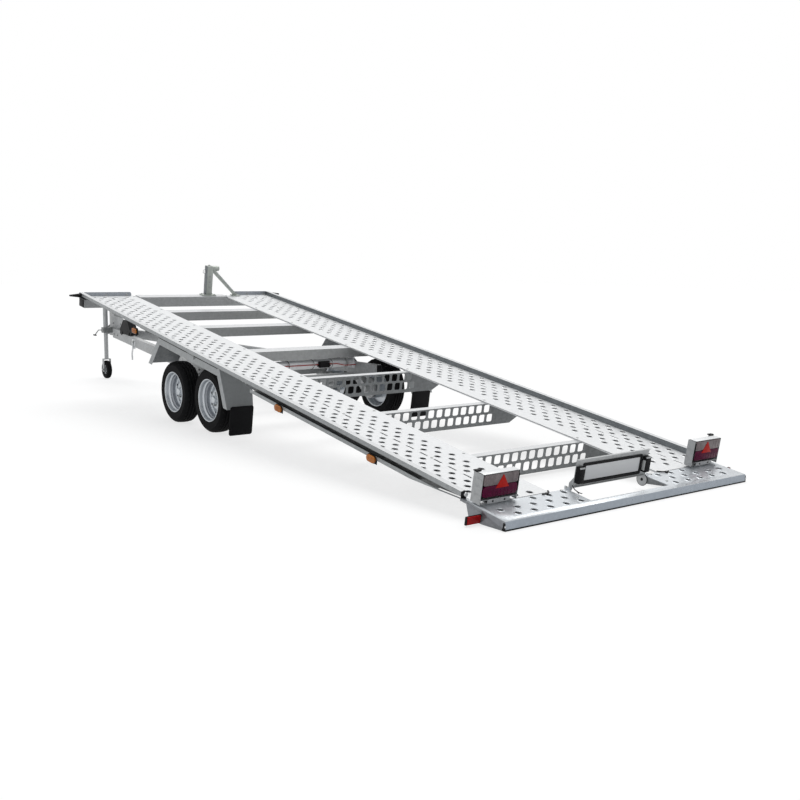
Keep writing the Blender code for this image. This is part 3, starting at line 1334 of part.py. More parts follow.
BED.rotation_euler = (TILT, 0, 0)
BED_PLACE = (0, -PIVOT_S, -PIVOT_H)
build_chassis()
build_bed()
build_rear_lights()
bpy.context.view_layer.update()
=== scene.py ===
"""Looks of the tilting car trailer: camera, light, finishes and the fine parts.

Metres. Bed places are (x, s, h): across, along the bed from the rear end of its rails, and up
from the tracks. Chassis places are (x, y, z) with y from the same point, level.
"""
from math import cos, hypot, pi, radians, sin, tau

import bmesh
import bpy
from mathutils import Matrix, Vector


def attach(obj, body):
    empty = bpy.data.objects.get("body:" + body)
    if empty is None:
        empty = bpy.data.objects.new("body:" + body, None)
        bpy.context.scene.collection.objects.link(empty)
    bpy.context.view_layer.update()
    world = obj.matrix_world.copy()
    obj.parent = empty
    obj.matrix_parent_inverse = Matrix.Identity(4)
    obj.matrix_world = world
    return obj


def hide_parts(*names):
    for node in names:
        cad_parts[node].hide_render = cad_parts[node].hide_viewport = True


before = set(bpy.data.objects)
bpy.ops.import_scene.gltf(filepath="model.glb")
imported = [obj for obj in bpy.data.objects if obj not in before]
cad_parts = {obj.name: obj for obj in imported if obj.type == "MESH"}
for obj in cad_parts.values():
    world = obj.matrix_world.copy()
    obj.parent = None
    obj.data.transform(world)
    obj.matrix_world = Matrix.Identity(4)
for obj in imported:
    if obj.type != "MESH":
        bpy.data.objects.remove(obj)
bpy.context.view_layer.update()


TILT = radians(9.1708)
TAIL_END = 0.376
DECK_Z = 0.0533 + TAIL_END * sin(TILT)
MIDDLE_Y = (8.05 - TAIL_END * cos(TILT)) / 2
BED = Matrix.Translation((0, -MIDDLE_Y, DECK_Z)) @ Matrix.Rotation(TILT, 4, "X")
FLOOR = Matrix.Translation((0, -MIDDLE_Y, 0))
SIDES = {"left": -1, "right": 1}
HALF_BED = 1.1
RAIL_WEB = 1.0577
RAIL_FRONT = 6.0198
SHALLOW_FROM = 2.44
TRACK_INNER = 0.505
PLAIN_BEAMS = {"cross_beam_front": 5.26, "cross_beam_middle": 4.525, "cross_beam_pivot": 3.545}
SLOTTED_BEAMS = {"slotted_beam_front": 2.6, "slotted_beam_middle": 1.6, "slotted_beam_rear": 0.6}
BEAM_PLACES = (*PLAIN_BEAMS.values(), *SLOTTED_BEAMS.values())
BEAM_END = 1.0574
BEAM_END_DEPTH = 0.03
FRONT_BEAM = (5.884, 6.014)
GUARD_OUTER = 1.048
GUARD_TOP, GUARD_FOOT = -0.02, -0.31
WHEELS = {"front": 4.093, "rear": 3.415}
WHEEL_X = 0.8685
TYRE_RADIUS = 0.275


# Materials

def feed(tree, node, **values):
    """Sets each input of a node to its value, or links it to that socket."""
    for name, value in values.items():
        socket = node.inputs[name.replace("_", " ")]
        if isinstance(value, bpy.types.NodeSocket):
            tree.links.new(value, socket)
        else:
            socket.default_value = value


def add_node(tree, kind, **values):
    node = tree.nodes.new("ShaderNode" + kind)
    feed(tree, node, **values)
    return node


def ramp(tree, source, *colors, start=0.25):
    """Two colours, blended between the start and its mirror value."""
    node = add_node(tree, "ValToRGB", Fac=source)
    for element, place, color in zip(node.color_ramp.elements, (start, 1 - start), colors):
        element.position = place
        element.color = (*color, 1)
    return node.outputs["Color"]


def noise(tree, place, scale, detail=4.0):
    node = add_node(tree, "TexNoise", Vector=place, Scale=scale, Detail=detail, Roughness=0.55)
    return node.outputs["Fac"]


def cells(tree, place, scale):
    node = add_node(tree, "TexVoronoi", Vector=place, Scale=scale)
    return add_node(tree, "SeparateColor", Color=node.outputs["Color"]).outputs["Red"]


def math_node(tree, operation, *values):
    node = tree.nodes.new("ShaderNodeMath")
    node.operation = operation
    for socket, value in zip(node.inputs, values):
        if isinstance(value, bpy.types.NodeSocket):
            tree.links.new(value, socket)
        else:
            socket.default_value = value
    return node.outputs["Value"]


ROUGH_SPREAD = 0.08


def finish(name, color, metallic=0.0, rough=0.5, vary=0.12, patch=2.5, grain=90.0, cell=0.0,
           bump=0.15, depth=0.0006, coat=0.0, tint=None, gloss=0.5):
    """Material with large and small colour changes, uneven roughness and a fine relief."""
    look = bpy.data.materials.new(name)
    look.use_nodes = True
    tree = look.node_tree
    place = tree.nodes.new("ShaderNodeTexCoord").outputs["Object"]
    small = noise(tree, place, grain, 6.0)
    fine = cells(tree, place, cell) if cell else small
    blend = math_node(tree, "MULTIPLY_ADD", fine, 0.5, math_node(
        tree, "MULTIPLY", noise(tree, place, patch), 0.5))
    dark = [value * (1 - vary) for value in tint or color]
    light = [min(1.0, value * (1 + vary)) for value in color]
    uneven = add_node(tree, "MapRange", Value=blend, From_Min=0.25, From_Max=0.75,
                      To_Min=rough + ROUGH_SPREAD, To_Max=rough - ROUGH_SPREAD)
    relief = add_node(tree, "Bump", Height=small, Strength=bump, Distance=depth)
    feed(tree, tree.nodes["Principled BSDF"], Metallic=metallic, IOR=1.45, Coat_Weight=coat,
         Coat_Roughness=0.08, Specular_IOR_Level=gloss, Base_Color=ramp(tree, blend, dark, light),
         Roughness=uneven.outputs["Result"], Normal=relief.outputs["Normal"])
    return look


def steel(name, color, rough, metallic, vary):
    return finish(name, color, metallic, rough, vary, 1.8, 160.0, 55.0, 0.1, 0.0004)


def rail_finish():
    """Galvanised rail with painted shade darkening the recess between its lips."""
    look = steel("rail_galvanised", (0.36, 0.375, 0.38), 0.45, 0.45, 0.05)
    tree = look.node_tree
    shader = tree.nodes["Principled BSDF"]
    base = shader.inputs["Base Color"].links[0].from_socket
    place = tree.nodes.new("ShaderNodeTexCoord").outputs["Object"]
    split = add_node(tree, "SeparateXYZ", Vector=place)
    out = math_node(tree, "ABSOLUTE", split.outputs["X"])
    along = math_node(tree, "MULTIPLY_ADD", split.outputs["Y"], -sin(TILT),
                      -MIDDLE_Y * sin(TILT) - DECK_Z * cos(TILT))
    height = math_node(tree, "MULTIPLY_ADD", split.outputs["Z"], cos(TILT), along)
    # Painted shade: the surface between the web and the outer edge, below the rail's top, takes a
    # dark noisy tone.
    inside = math_node(tree, "LESS_THAN", out, HALF_BED - 0.006)
    beyond = math_node(tree, "GREATER_THAN", out, RAIL_WEB + 0.002)
    below = math_node(tree, "LESS_THAN", height, 0.037)
    mask = math_node(tree, "MULTIPLY", math_node(tree, "MULTIPLY", inside, beyond), below)
    shade_tone = ramp(tree, noise(tree, place, 12.0), (0.12, 0.125, 0.125), (0.2, 0.205, 0.205),
                start=0.3)
    recess_shade = tree.nodes.new("ShaderNodeMix")
    recess_shade.data_type = "RGBA"
    feed(tree, recess_shade, Factor=mask, A=base, B=shade_tone)
    feed(tree, shader, Base_Color=recess_shade.outputs["Result"])
    return look


STEEL_LOOKS = {
    "galvanised": ("galvanised", (0.42, 0.43, 0.435), 0.45, 0.45, 0.06),
    "beam": ("beam_galvanised", (0.4, 0.41, 0.41), 0.45, 0.45, 0.06),
    # Darker copy of galvanised for the slotted beams and the hinge flanges: painted shade under
    # the deck.
    "slotted": ("slotted_beam_painted_shade", (0.22, 0.23, 0.235), 0.5, 0.4, 0.06),
    # Darker copy of galvanised for rail webs, the rail's flange, guard undersides and the post's
    # left face: painted shade.
    "inner": ("painted_shade_galvanised", (0.19, 0.205, 0.215), 0.45, 0.45, 0.04),
    # Darker copy for the tail plate's side faces: painted shade.
    "cheek": ("cheek_painted_shade", (0.27, 0.28, 0.3), 0.4, 0.45, 0.04),
    "head": ("headboard_galvanised", (0.37, 0.395, 0.43), 0.45, 0.45, 0.05),
    # Darker, bluer copy for the skin on the tail's rear lip: painted shade.
    "lip": ("tail_lip_painted_shade", (0.36, 0.4, 0.45), 0.34, 0.5, 0.03),
    # Lighter copy of galvanised for thin sheets on the tops of rails and beams: painted highlight.
    "painted_highlight": ("top_face_painted_highlight", (0.64, 0.65, 0.66), 0.4, 0.3, 0.04),
    # Near-white copy of galvanised that brightens the shaded pivot tube: painted light.
    "tube": ("tube_painted_light", (0.8, 0.81, 0.82), 0.42, 0.2, 0.04),
    "guard": ("guard_galvanised", (0.36, 0.375, 0.38), 0.42, 0.4, 0.035),
    "post": ("post_galvanised", (0.44, 0.47, 0.44), 0.45, 0.45, 0.05),
    "arm": ("arm_galvanised", (0.38, 0.39, 0.395), 0.45, 0.4, 0.09),
    # Pale copy of galvanised: painted light on the up-facing tracks; also used on the lamp
    # bracket's top and the lever.
    "track": ("track_painted_light", (0.76, 0.77, 0.78), 0.42, 0.25, 0.04),
    # Lighter copy of galvanised for the tail plate: painted light on its top.
    "tail": ("tail_top_painted_light", (0.6, 0.63, 0.66), 0.36, 0.45, 0.03),
    "bolt": ("bolt_zinc", (0.38, 0.39, 0.39), 0.38, 0.75, 0.1),
    "cast": ("cast_zinc", (0.24, 0.25, 0.25), 0.5, 0.6, 0.18),
    # Darker copy of the rim finish for the barrel band: painted shade in the rim's recess.
    "barrel": ("rim_barrel_painted_shade", (0.33, 0.35, 0.38), 0.4, 0.5, 0.03),
}
LOOK = {
    **{key: steel(*values) for key, values in STEEL_LOOKS.items()},
    "rail": rail_finish(),
    "bright": finish("bright_steel", (0.62, 0.63, 0.64), 0.9, 0.28, 0.06, 3.0, 220.0),
    "rim": finish("rim_silver", (0.6, 0.63, 0.66), 0.65, 0.34, 0.03, 3.0, 260.0, bump=0.03),
    "tyre": finish("tyre_rubber", (0.009, 0.009, 0.01), 0.0, 0.75, 0.3, 6.0, 240.0,
                   bump=0.25, tint=(0.01, 0.01, 0.01), gloss=0.1),
    "rubber": finish("moulded_rubber", (0.01, 0.01, 0.011), 0.0, 0.66, 0.25, 9.0, 300.0,
                     bump=0.2, gloss=0.12),
    "black": finish("black_plastic", (0.008, 0.008, 0.009), 0.0, 0.5, 0.25, 8.0, 320.0,
                    bump=0.2, depth=0.0003, gloss=0.15),
    # Near-black finish: painted shade in holes, vents and the gap by the guard; also the dark
    # joint at the tail.
    "hole": finish("dark_joint_and_hole_shade", (0.012, 0.012, 0.013), 0.0, 0.9, 0.3, 12.0, 90.0),
    "amber": finish("amber_lens", (0.62, 0.2, 0.012), 0.0, 0.22, 0.18, 20.0, 120.0,
                    bump=0.3, coat=0.2, tint=(0.36, 0.09, 0.006), gloss=0.35),
    "red": finish("red_lens", (0.46, 0.008, 0.01), 0.0, 0.26, 0.2, 22.0, 140.0, bump=0.25,
                  tint=(0.28, 0.003, 0.005), gloss=0.12),
    "wine": finish("tail_lens", (0.12, 0.002, 0.04), 0.0, 0.26, 0.35, 26.0, 130.0,
                   bump=0.3, tint=(0.05, 0.001, 0.018), gloss=0.12),
    "smoke": finish("clear_lens", (0.26, 0.222, 0.225), 0.1, 0.26, 0.3, 24.0, 130.0,
                    bump=0.3, tint=(0.12, 0.095, 0.1), gloss=0.2),
    "signal": finish("triangle_reflector", (0.5, 0.012, 0.007), 0.0, 0.3, 0.12, 30.0,
                     420.0, 420.0, 0.4, 0.0004, gloss=0.12),
    "plate": finish("blank_plate", (0.74, 0.75, 0.76), 0.0, 0.34, 0.03, 5.0, 300.0,
                    bump=0.04, coat=0.3),
    "white": finish("white_lens", (0.66, 0.67, 0.66), 0.0, 0.2, 0.08, 20.0, 200.0, coat=0.8),
    "cable": finish("cable_sheath", (0.36, 0.03, 0.024), 0.0, 0.45, 0.2, 14.0, 160.0),
    "tie": finish("cable_tie", (0.62, 0.62, 0.6), 0.0, 0.5, 0.08, 30.0, 300.0),
    "wheel_blue": finish("wheel_hub_grey", (0.34, 0.36, 0.37), 0.2, 0.42, 0.1, 12.0, 200.0),
}


def link(item):
    bpy.context.scene.collection.objects.link(item)


# Solids, each a loose mesh in the frame of its piece

def as_mesh(cage, name="loose"):
    mesh = bpy.data.meshes.new(name)
    cage.to_mesh(mesh)
    cage.free()
    return mesh


def evaluated(item):
    """Mesh of an object with its modifiers applied, bare of materials."""
    bpy.context.view_layer.update()
    graph = bpy.context.evaluated_depsgraph_get()
    mesh = bpy.data.meshes.new_from_object(item.evaluated_get(graph))
    mesh.materials.clear()
    return mesh


def angles(count, shift=0.0):
    return [tau * (step + shift) / count for step in range(count)]


def skin(rows, closed=False, ringed=True, capped=False):
    """Faces between rows of points: closed joins the ends, ringed joins each row."""
    cage = bmesh.new()
    rows = [[cage.verts.new(point) for point in row] for row in rows]
    if capped:
        cage.faces.new(rows[0])
        cage.faces.new(reversed(rows[-1]))
    count = len(rows[0])
    for near, far in zip(rows, rows[1:] + (rows[:1] if closed else [])):
        for index in range(count if ringed else count - 1):
            after = (index + 1) % count
            cage.faces.new((near[after], near[index], far[index], far[after]))
    bmesh.ops.remove_doubles(cage, verts=cage.verts, dist=1e-6)
    bmesh.ops.recalc_face_normals(cage, faces=cage.faces)
    return cage


TURN = {"X": Matrix.Rotation(pi / 2, 4, "Y"), "Y": Matrix.Rotation(-pi / 2, 4, "X"),
        "Z": Matrix.Identity(4)}


def box(low, high, edge=0.0):
    low, high = Vector(map(min, low, high)), Vector(map(max, low, high))
    cage = bmesh.new()
    size = high - low
    scale = Matrix.Diagonal((*size, 1))
    bmesh.ops.create_cube(cage, size=1, matrix=Matrix.Translation((low + high) / 2) @ scale)
    if edge:
        bmesh.ops.bevel(cage, geom=cage.edges[:], offset=edge, segments=2, profile=0.5,
                        affect="EDGES")
    return cage


def lathe(loop, middle, axis, segments, side=1, closed=False, notch=None):
    """Surface turned about an axis: (radius, along) points, along positive to the side."""
    rows = []
    for step, angle in enumerate(angles(segments)):
        row = []
        for radius, along in loop:
            reach = radius - (notch(step, along) if notch else 0)
            row.append((reach * cos(angle), reach * sin(angle), side * along))
        rows.append(row)
    cage = skin(rows, True, closed)
    cage.transform(Matrix.Translation(middle) @ TURN[axis])
    return cage


def bar(middle, radius, length, axis="Z", segments=24, edge=0.0):
    half = length / 2
    rim = max(radius - edge, 0)
    loop = [(0, half), (rim, half), (radius, half - edge), (radius, edge - half), (rim, -half),
            (0, -half)]
    return lathe(loop, middle, axis, segments)


def prism(loop, plane, near, far, edge=0.0):
    """Flat outline drawn through from near to far; plane is "XZ", "YZ" or "XY"."""
    axis = {"YZ": 0, "XZ": 1, "XY": 2}[plane]
    cage = skin([[(*pair[:axis], depth, *pair[axis:]) for pair in loop] for depth in (near, far)],
                capped=True)
    if edge:
        bmesh.ops.bevel(cage, geom=cage.edges[:], offset=edge, segments=2, profile=0.5,
                        affect="EDGES")
    return cage


def tube(points, radius, segments, closed=False):
    """Round bar along a path of points."""
    path = [Vector(point) for point in points]
    rows = []
    normal = None
    last = len(path) - 1
    for index, point in enumerate(path):
        if closed:
            along = (path[(index + 1) % len(path)] - path[index - 1]).normalized()
        else:
            along = (path[min(index + 1, last)] - path[max(index - 1, 0)]).normalized()
        if normal is None:
            pick = Vector((0, 0, 1)) if abs(along.z) < 0.9 else Vector((1, 0, 0))
            normal = along.cross(pick).normalized()
        normal = (normal - along * normal.dot(along)).normalized()
        other = along.cross(normal)
        rows.append([point + radius * (normal * cos(angle) + other * sin(angle))
                     for angle in angles(segments)])
    return skin(rows, closed, capped=not closed)


def bend(points, radius):
    """Path with its corners rounded off."""
    steps = 5
    path = [Vector(point) for point in points]
    out = [path[0]]
    for before, corner, after in zip(path, path[1:], path[2:]):
        reach = min(radius, (before - corner).length / 2, (after - corner).length / 2)
        start = corner + (before - corner).normalized() * reach
        end = corner + (after - corner).normalized() * reach
        for step in range(steps + 1):
            share = step / steps
            out.append(start.lerp(corner, share).lerp(corner.lerp(end, share), share))
    out.append(path[-1])
    return out


def capsule(across, along, half, radius, count):
    """Outline of a round hole, or of a slot of half length along the bed."""
    loop = []
    for angle in angles(count, 0.5):
        shift = half if sin(angle) > 0 else -half
        loop.append((across + radius * cos(angle),
                     along + shift + radius * sin(angle)))
    return loop


def soft_rectangle(low, high, floor, top, corner, steps=5):
    """Rectangle with round corners as (across, height) pairs."""
    loop = []
    for across, up, start in ((high, top, 0), (low, top, 90), (low, floor, 180),
                              (high, floor, 270)):
        middle = (across - corner if across == high else across + corner,
                  up - corner if up == top else up + corner)
        for step in range(steps + 1):
            angle = radians(start + 90 * step / steps)
            loop.append((middle[0] + corner * cos(angle),
                         middle[1] + corner * sin(angle)))
    return loop


def sided(loop, side):
    if side > 0:
        return loop
    return [(-across, up) for across, up in reversed(loop)]


def tenths(loop):
    """Profile given in tenths of a millimetre."""
    return [(radius / 10000, along / 10000) for radius, along in loop]


def doubled(loop):
    """Half profile with its mirror image."""
    return loop + [(radius, -along) for radius, along in reversed(loop)]


def around(middle, radius, angle, across=0.0):
    """Place on a circle about an axle."""
    return (middle[0] + across, middle[1] + radius * cos(angle),
            middle[2] + radius * sin(angle))


class Piece:
    """One mesh gathered from solids, each with its own finish.

    Its methods count across values outwards on the piece's side.
    """

    def __init__(self, name, word=None, place=BED):
        self.name = f"{name}_{word}" if word else name
        self.side = SIDES[word] if word else 1
        self.place = place
        self.cage = bmesh.new()
        self.looks = []

    def out(self, place):
        return (self.side * place[0], place[1], place[2])

    def add(self, cage, look, other=None, pick=None):
        self.take(as_mesh(cage), look, other, pick)

    def take(self, mesh, look, other=None, pick=None):
        """Adds a mesh; the faces that pick(centre, normal) names get the other finish."""
        for name in (look, other):
            if name and name not in self.looks:
                self.looks.append(name)
        for face in mesh.polygons:
            name = other if pick and pick(face.center, face.normal) else look
            face.material_index = self.looks.index(name)
        self.cage.from_mesh(mesh)
        bpy.data.meshes.remove(mesh)

    def data(self, points, faces, look):
        mesh = bpy.data.meshes.new("loose")
        mesh.from_pydata(points, [], faces)
        self.take(mesh, look)

    def box(self, look, low, high, edge=0.0):
        self.add(box(self.out(low), self.out(high), edge), look)

    def bar(self, look, middle, *shape):
        self.add(bar(self.out(middle), *shape), look)

    def tube(self, look, points, *shape):
        self.add(tube(points, *shape), look)

    def prism(self, look, loop, plane, near, far, edge=0.0):
        if plane == "XZ":
            loop = sided(loop, self.side)
        else:
            near, far = self.side * near, self.side * far
        self.add(prism(loop, plane, near, far, edge), look)

    def lathe(self, look, loop, middle, axis, segments, closed=False):
        turn = self.side if axis == "X" else 1
        self.add(lathe(loop, self.out(middle), axis, segments, turn, closed), look)

    def bolt(self, place, axis, radius=0.009, height=0.007, sign=1):
        """Hexagon head on a washer, standing out along an axis."""
        shift = {"X": (sign, 0, 0), "Y": (0, sign, 0), "Z": (0, 0, sign)}[axis]
        for share, wide, tall, sides, edge in ((0.12, 1.35, 0.24, 16, 0.05),
                                               (0.6, 1.0, 0.8, 6, 0.12)):
            middle = Vector(place) + Vector(shift) * height * share
            self.bar("bolt", middle, radius * wide, height * tall, axis, sides, height * edge)

    def done(self, body, slot, *nodes):
        self.cage.transform(self.place)
        mesh = as_mesh(self.cage, self.name)
        for look in self.looks:
            mesh.materials.append(LOOK[look])
        mesh.shade_smooth()
        mesh.set_sharp_from_angle(angle=radians(32))
        item = bpy.data.objects.new(self.name, mesh)
        link(item)
        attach(item, body)
        if nodes:
            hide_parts(*nodes)


# Copies of CAD nodes, changed to the photo's form

def node_mesh(node, place=BED):
    """Copy of a node's mesh in the frame of the pieces."""
    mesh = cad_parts[node].data.copy()
    mesh.materials.clear()
    cage = bmesh.new()
    cage.from_mesh(mesh)
    bmesh.ops.remove_doubles(cage, verts=cage.verts, dist=1e-6)
    cage.transform(place.inverted())
    cage.to_mesh(mesh)
    cage.free()
    return mesh


def carve(mesh, cutters):
    """Mesh less the loose solids given."""
    bits = bmesh.new()
    for cutter in cutters:
        loose = as_mesh(cutter)
        bits.from_mesh(loose)
        bpy.data.meshes.remove(loose)
    work = bpy.data.objects.new("work", mesh)
    cut = bpy.data.objects.new("cut", as_mesh(bits))
    for item in (work, cut):
        link(item)
    change = work.modifiers.new("cut", "BOOLEAN")
    change.operation = "DIFFERENCE"
    change.solver = "EXACT"
    change.object = cut
    result = evaluated(work)
    for item in (work, cut):
        bpy.data.objects.remove(item, do_unlink=True)
    return result


def shifted(mesh, move):
    for vert in mesh.vertices:
        vert.co = move(*vert.co)
    return mesh


def rail(word):
    """Side rail, its lower half gone ahead of the mudguard."""
    piece = Piece("rail_shaped", word)
    side = piece.side
    cutter = box((side * (RAIL_WEB - 0.01), SHALLOW_FROM, -0.2), (side * 1.12, 6.1, -0.012))
    # The web's side faces take the darker inner finish: painted shade.
    piece.take(carve(node_mesh("side_beam_" + word), [cutter]), "rail", "inner",
               lambda middle, normal: abs(middle.x) < RAIL_WEB + 0.001 and abs(normal.x) > 0.9)
    # Thin lighter sheet on the rail's top: painted highlight.
    piece.box("painted_highlight", (RAIL_WEB, 0.0, 0.0401), (HALF_BED - 0.0004, RAIL_FRONT, 0.0406))
    # Lower flange in the darker inner finish: painted shade.
    flange = [(0.004, -0.0048), (0.462, -0.0428), (0.462, -0.036), (0.004, 0.002)]
    piece.prism("inner", flange, "YZ", 1.0962, 1.0996)
    piece.done("bed", "galvanised", "side_beam_" + word)


def tapered_beam(node, along, depth, start, look):
    """Cross beam whose underside rises to the rails at both ends."""
    piece = Piece(node + "_tapered")
    reach = 0.15
    rise = (depth - BEAM_END_DEPTH) / (BEAM_END - start) * reach
    loop = [(start - reach, -depth - rise), (BEAM_END + reach, -depth - rise),
            (BEAM_END + reach, rise - BEAM_END_DEPTH)]
    cutters = [prism(sided(loop, side), "XZ", along - reach, along + reach)
               for side in SIDES.values()]
    piece.take(carve(node_mesh(node), cutters), look)
    piece.done("bed", "galvanised", node)


def front_beam():
    """Front beam moved up to the headboards, raised between the tracks."""
    piece = Piece("front_beam_shaped")
    rear, front = FRONT_BEAM
    mesh = shifted(node_mesh("front_beam"), lambda across, along, up: (
        across, along + 0.068, up + (0.011 if up < -0.06 else 0)))
    piece.take(mesh, "galvanised")
    piece.box("galvanised", (-0.5045, rear, -0.015), (0.5045, front, 0.0085), 0.002)
    for piece.side in SIDES.values():
        for near in (rear - 0.001, front - 0.005):
            piece.box("galvanised", (1.05, near, -0.06), (1.0998, near + 0.006, -0.0123))
        piece.box("galvanised", (1.05, rear, -0.018), (1.0998, front, -0.0123))
    piece.done("bed", "galvanised", "front_beam")


def guard(word):
    """Mudguard with its top raised to just under the track and a narrower rear foot."""
    piece = Piece("mudguard_raised", word)
    old_top, foot_from, narrower = -0.048, 2.95, 0.816
    grow = (GUARD_TOP - GUARD_FOOT) / (old_top - GUARD_FOOT)

    def move(across, along, up):
        if along < foot_from:
            across = piece.side * (GUARD_OUTER - (GUARD_OUTER - abs(across)) * narrower)
        return across, along, GUARD_FOOT + (up - GUARD_FOOT) * grow
    # Downward faces take the darker inner finish: painted shade under the guard.
    piece.take(shifted(node_mesh("mudguard_" + word), move), "guard", "inner",
               lambda middle, normal: normal.z < -0.2)
    # Near-black strip filling the gap between the guard's top and the rail: painted shade.
    piece.box("hole", (1.0485, 3.07, -0.0205), (1.057, 4.18, -0.0121))
    piece.done("bed", "galvanised", "mudguard_" + word)


def mudflap(word):
    """Rubber flap with round lower corners, hung from the mudguard's rear foot."""
    piece = Piece("mudflap_shaped", word)
    alongs = [vert.co.y for vert in node_mesh("mudflap_" + word).vertices]
    piece.prism("rubber", soft_rectangle(0.812, 1.021, -0.528, -0.286, 0.02, 6), "XZ",
                min(alongs), max(alongs), 0.0015)
    piece.done("bed", "rubber", "mudflap_" + word)


# Tracks and tail

def filled(loops, thickness, level):
    """Flat sheet with holes, in bed coordinates, its top at the level."""
    curve = bpy.data.curves.new("sheet", "CURVE")
    curve.dimensions = "2D"
    curve.fill_mode = "BOTH"
    curve.extrude = thickness / 2
    for loop in loops:
        spline = curve.splines.new("POLY")
        spline.points.add(len(loop) - 1)
        for point, pair in zip(spline.points, loop):
            point.co = (pair[0], pair[1], 0, 1)
        spline.use_cyclic_u = True
    helper = bpy.data.objects.new("sheet", curve)
    link(helper)
    mesh = evaluated(helper)
    bpy.data.objects.remove(helper, do_unlink=True)
    bpy.data.curves.remove(curve)
    mesh.transform(Matrix.Translation((0, 0, level - thickness / 2)))
    return mesh


COLLAR = ((0.0072, -0.0002), (0.0044, 0.0024), (0.0022, 0.0032), (0.0006, 0.0024),
          (0.0, 0.0006), (0.0, -0.003))
SLEEVE = 0.0006
SLOT_COLLAR = (*((out * 0.6, up * 0.6) for out, up in COLLAR[:-1]), (0.0, -0.003))


def collars(piece, holes, look, profile, count):
    """Rings of (radius more, height) points round holes: (across, along, half, radius)."""
    points = []
    faces = []
    for across, along, half, radius in holes:
        start = len(points)
        for out, up in profile:
            for pair in capsule(across, along, half, radius + out, count):
                points.append((*pair, up))
        for row in range(len(profile) - 1):
            for step in range(count):
                after = (step + 1) % count
                near = start + row * count
                far = near + count
                faces.append((near + step, near + after, far + after, far + step))
    piece.data(points, faces, look)


TRACK = {
    "left": {"start": 0.278, "slot": 0.806, "holes": (0.631, 0.69, 0.75, 0.87, 0.929, 0.983)},
    "right": {"start": 0.12, "slot": 0.836, "holes": (0.649, 0.708, 0.77, 0.893, 0.951, 1.01)},
}
PHASES = (0.5, 0.0, 0.5, 0.5, 0.0, 0.5)
PITCH = 0.143
HOLE = 0.0208
TAIL_HOLE = 0.0195


def track_holes(word):
    """Slots and round holes of a track, as (across, along, half length, radius)."""
    side, facts = SIDES[word], TRACK[word]
    out = []
    for index in range(50):
        along = facts["start"] + (index - 3) * PITCH
        if -0.05 < along < 5.965:
            out.append((side * facts["slot"], along, 0.033, 0.0062))
        for across, phase in zip(facts["holes"], PHASES):
            place = along + phase * PITCH
            if -0.085 < place < 5.985:
                out.append((side * across, place, 0.0, HOLE))
    return out


def track(word):
    """Perforated track with its folded edges, its pressed rims and its fixing bolts."""
    piece = Piece("track_pierced", word)
    side = piece.side
    outer, rear, front = 1.0572, -0.12, 6.02
    holes = track_holes(word)
    inner = side * TRACK_INNER
    edge = [(inner, rear), (side * outer, rear), (side * outer, front), (inner, front)]
    loops = [edge] + [capsule(*hole, 16) for hole in holes]
    piece.take(filled(loops, 0.003, 0.0), "track")
    collars(piece, [hole for hole in holes if hole[2] == 0], "track", COLLAR, 16)
    collars(piece, [hole for hole in holes if hole[2] > 0], "track", SLOT_COLLAR, 16)
    for near, far in ((TRACK_INNER, TRACK_INNER + 0.003), (outer - 0.003, outer)):
        piece.box("track", (near, rear, -0.012), (far, front, -0.0004), 0.0008)
    for along in (5.949, *BEAM_PLACES):
        for across in (0.535, 0.8, 1.034):
            if along < 5.8 or across != 0.8:
                piece.bar("bolt", (across, along + 0.03, 0.0012), 0.0105, 0.0024, "Z", 20, 0.0008)
    # Near-black sleeves under the holes: painted shade seen through them.
    collars(piece, holes, "hole", ((SLEEVE, -0.0026), (SLEEVE, -0.0118)), 16)
    piece.done("bed", "track_steel", "track_" + word)


def tail_holes():
    out = []
    for index in range(5):
        step = 0.125 * index
        for along, left, right in ((-0.158, -0.936, 0.955), (-0.302, -0.936, 0.955),
                                   (-0.229, -1.003, 1.012)):
            out += [(left + 1.024 * step, along), (right - step, along)]
    return [(across, along, 0.0, TAIL_HOLE) for across, along in out
            if abs(across) >= 0.39 and (along <= -0.17 or abs(across) <= 0.79)]


def tail():
    """Tail plate with its real holes, darker cheeks and the lip's darker skin as painted shade,
    and four bolts.
    """
    piece = Piece("tail_pierced")
    holes = tail_holes()
    cutters = [prism(capsule(*hole, 20), "XY", -0.02, 0.02) for hole in holes]
    cutters.append(box((-1.2, -0.2, -0.08), (-1.1001, -0.05, 0.01)))
    piece.take(carve(node_mesh("tail_plate"), cutters), "tail", "cheek",
               lambda middle, normal: abs(middle.x) > 1.09 and abs(normal.x) > 0.9)
    # Near-black sleeves under the holes: painted shade seen through them.
    collars(piece, holes, "hole", ((SLEEVE, -0.0046), (SLEEVE, -0.0145)), 20)
    collars(piece, holes, "tail", COLLAR, 20)
    # Skin over the rear lip in the darker, bluer lip finish: painted shade.
    lip = [(-0.3755, 0.0004), (-0.3772, -0.001), (-0.3852, -0.045), (-0.383, -0.045)]
    piece.prism("lip", lip, "YZ", -1.0995, 1.0995)
    for piece.side in SIDES.values():
        for along in (-0.13, -0.26):
            piece.bolt((0.415, along, 0.0), "Z", 0.0075, 0.005)
    piece.done("bed", "tail_steel", "tail_plate")


def beam_top_highlights():
    """Lighter sheets on the upper faces of the cross beams between the tracks: painted highlight.
    """
    piece = Piece("beam_top_highlights")
    for along in BEAM_PLACES:
        half = 0.0597 if along in PLAIN_BEAMS.values() else 0.0272
        piece.box("painted_highlight", (-0.5045, along - half, -0.0121), (0.5045, along + half, -0.0115))
    piece.box("painted_highlight", (-0.504, 5.8845, 0.0086), (0.504, 6.0135, 0.0092))
    piece.done("bed", "galvanised")


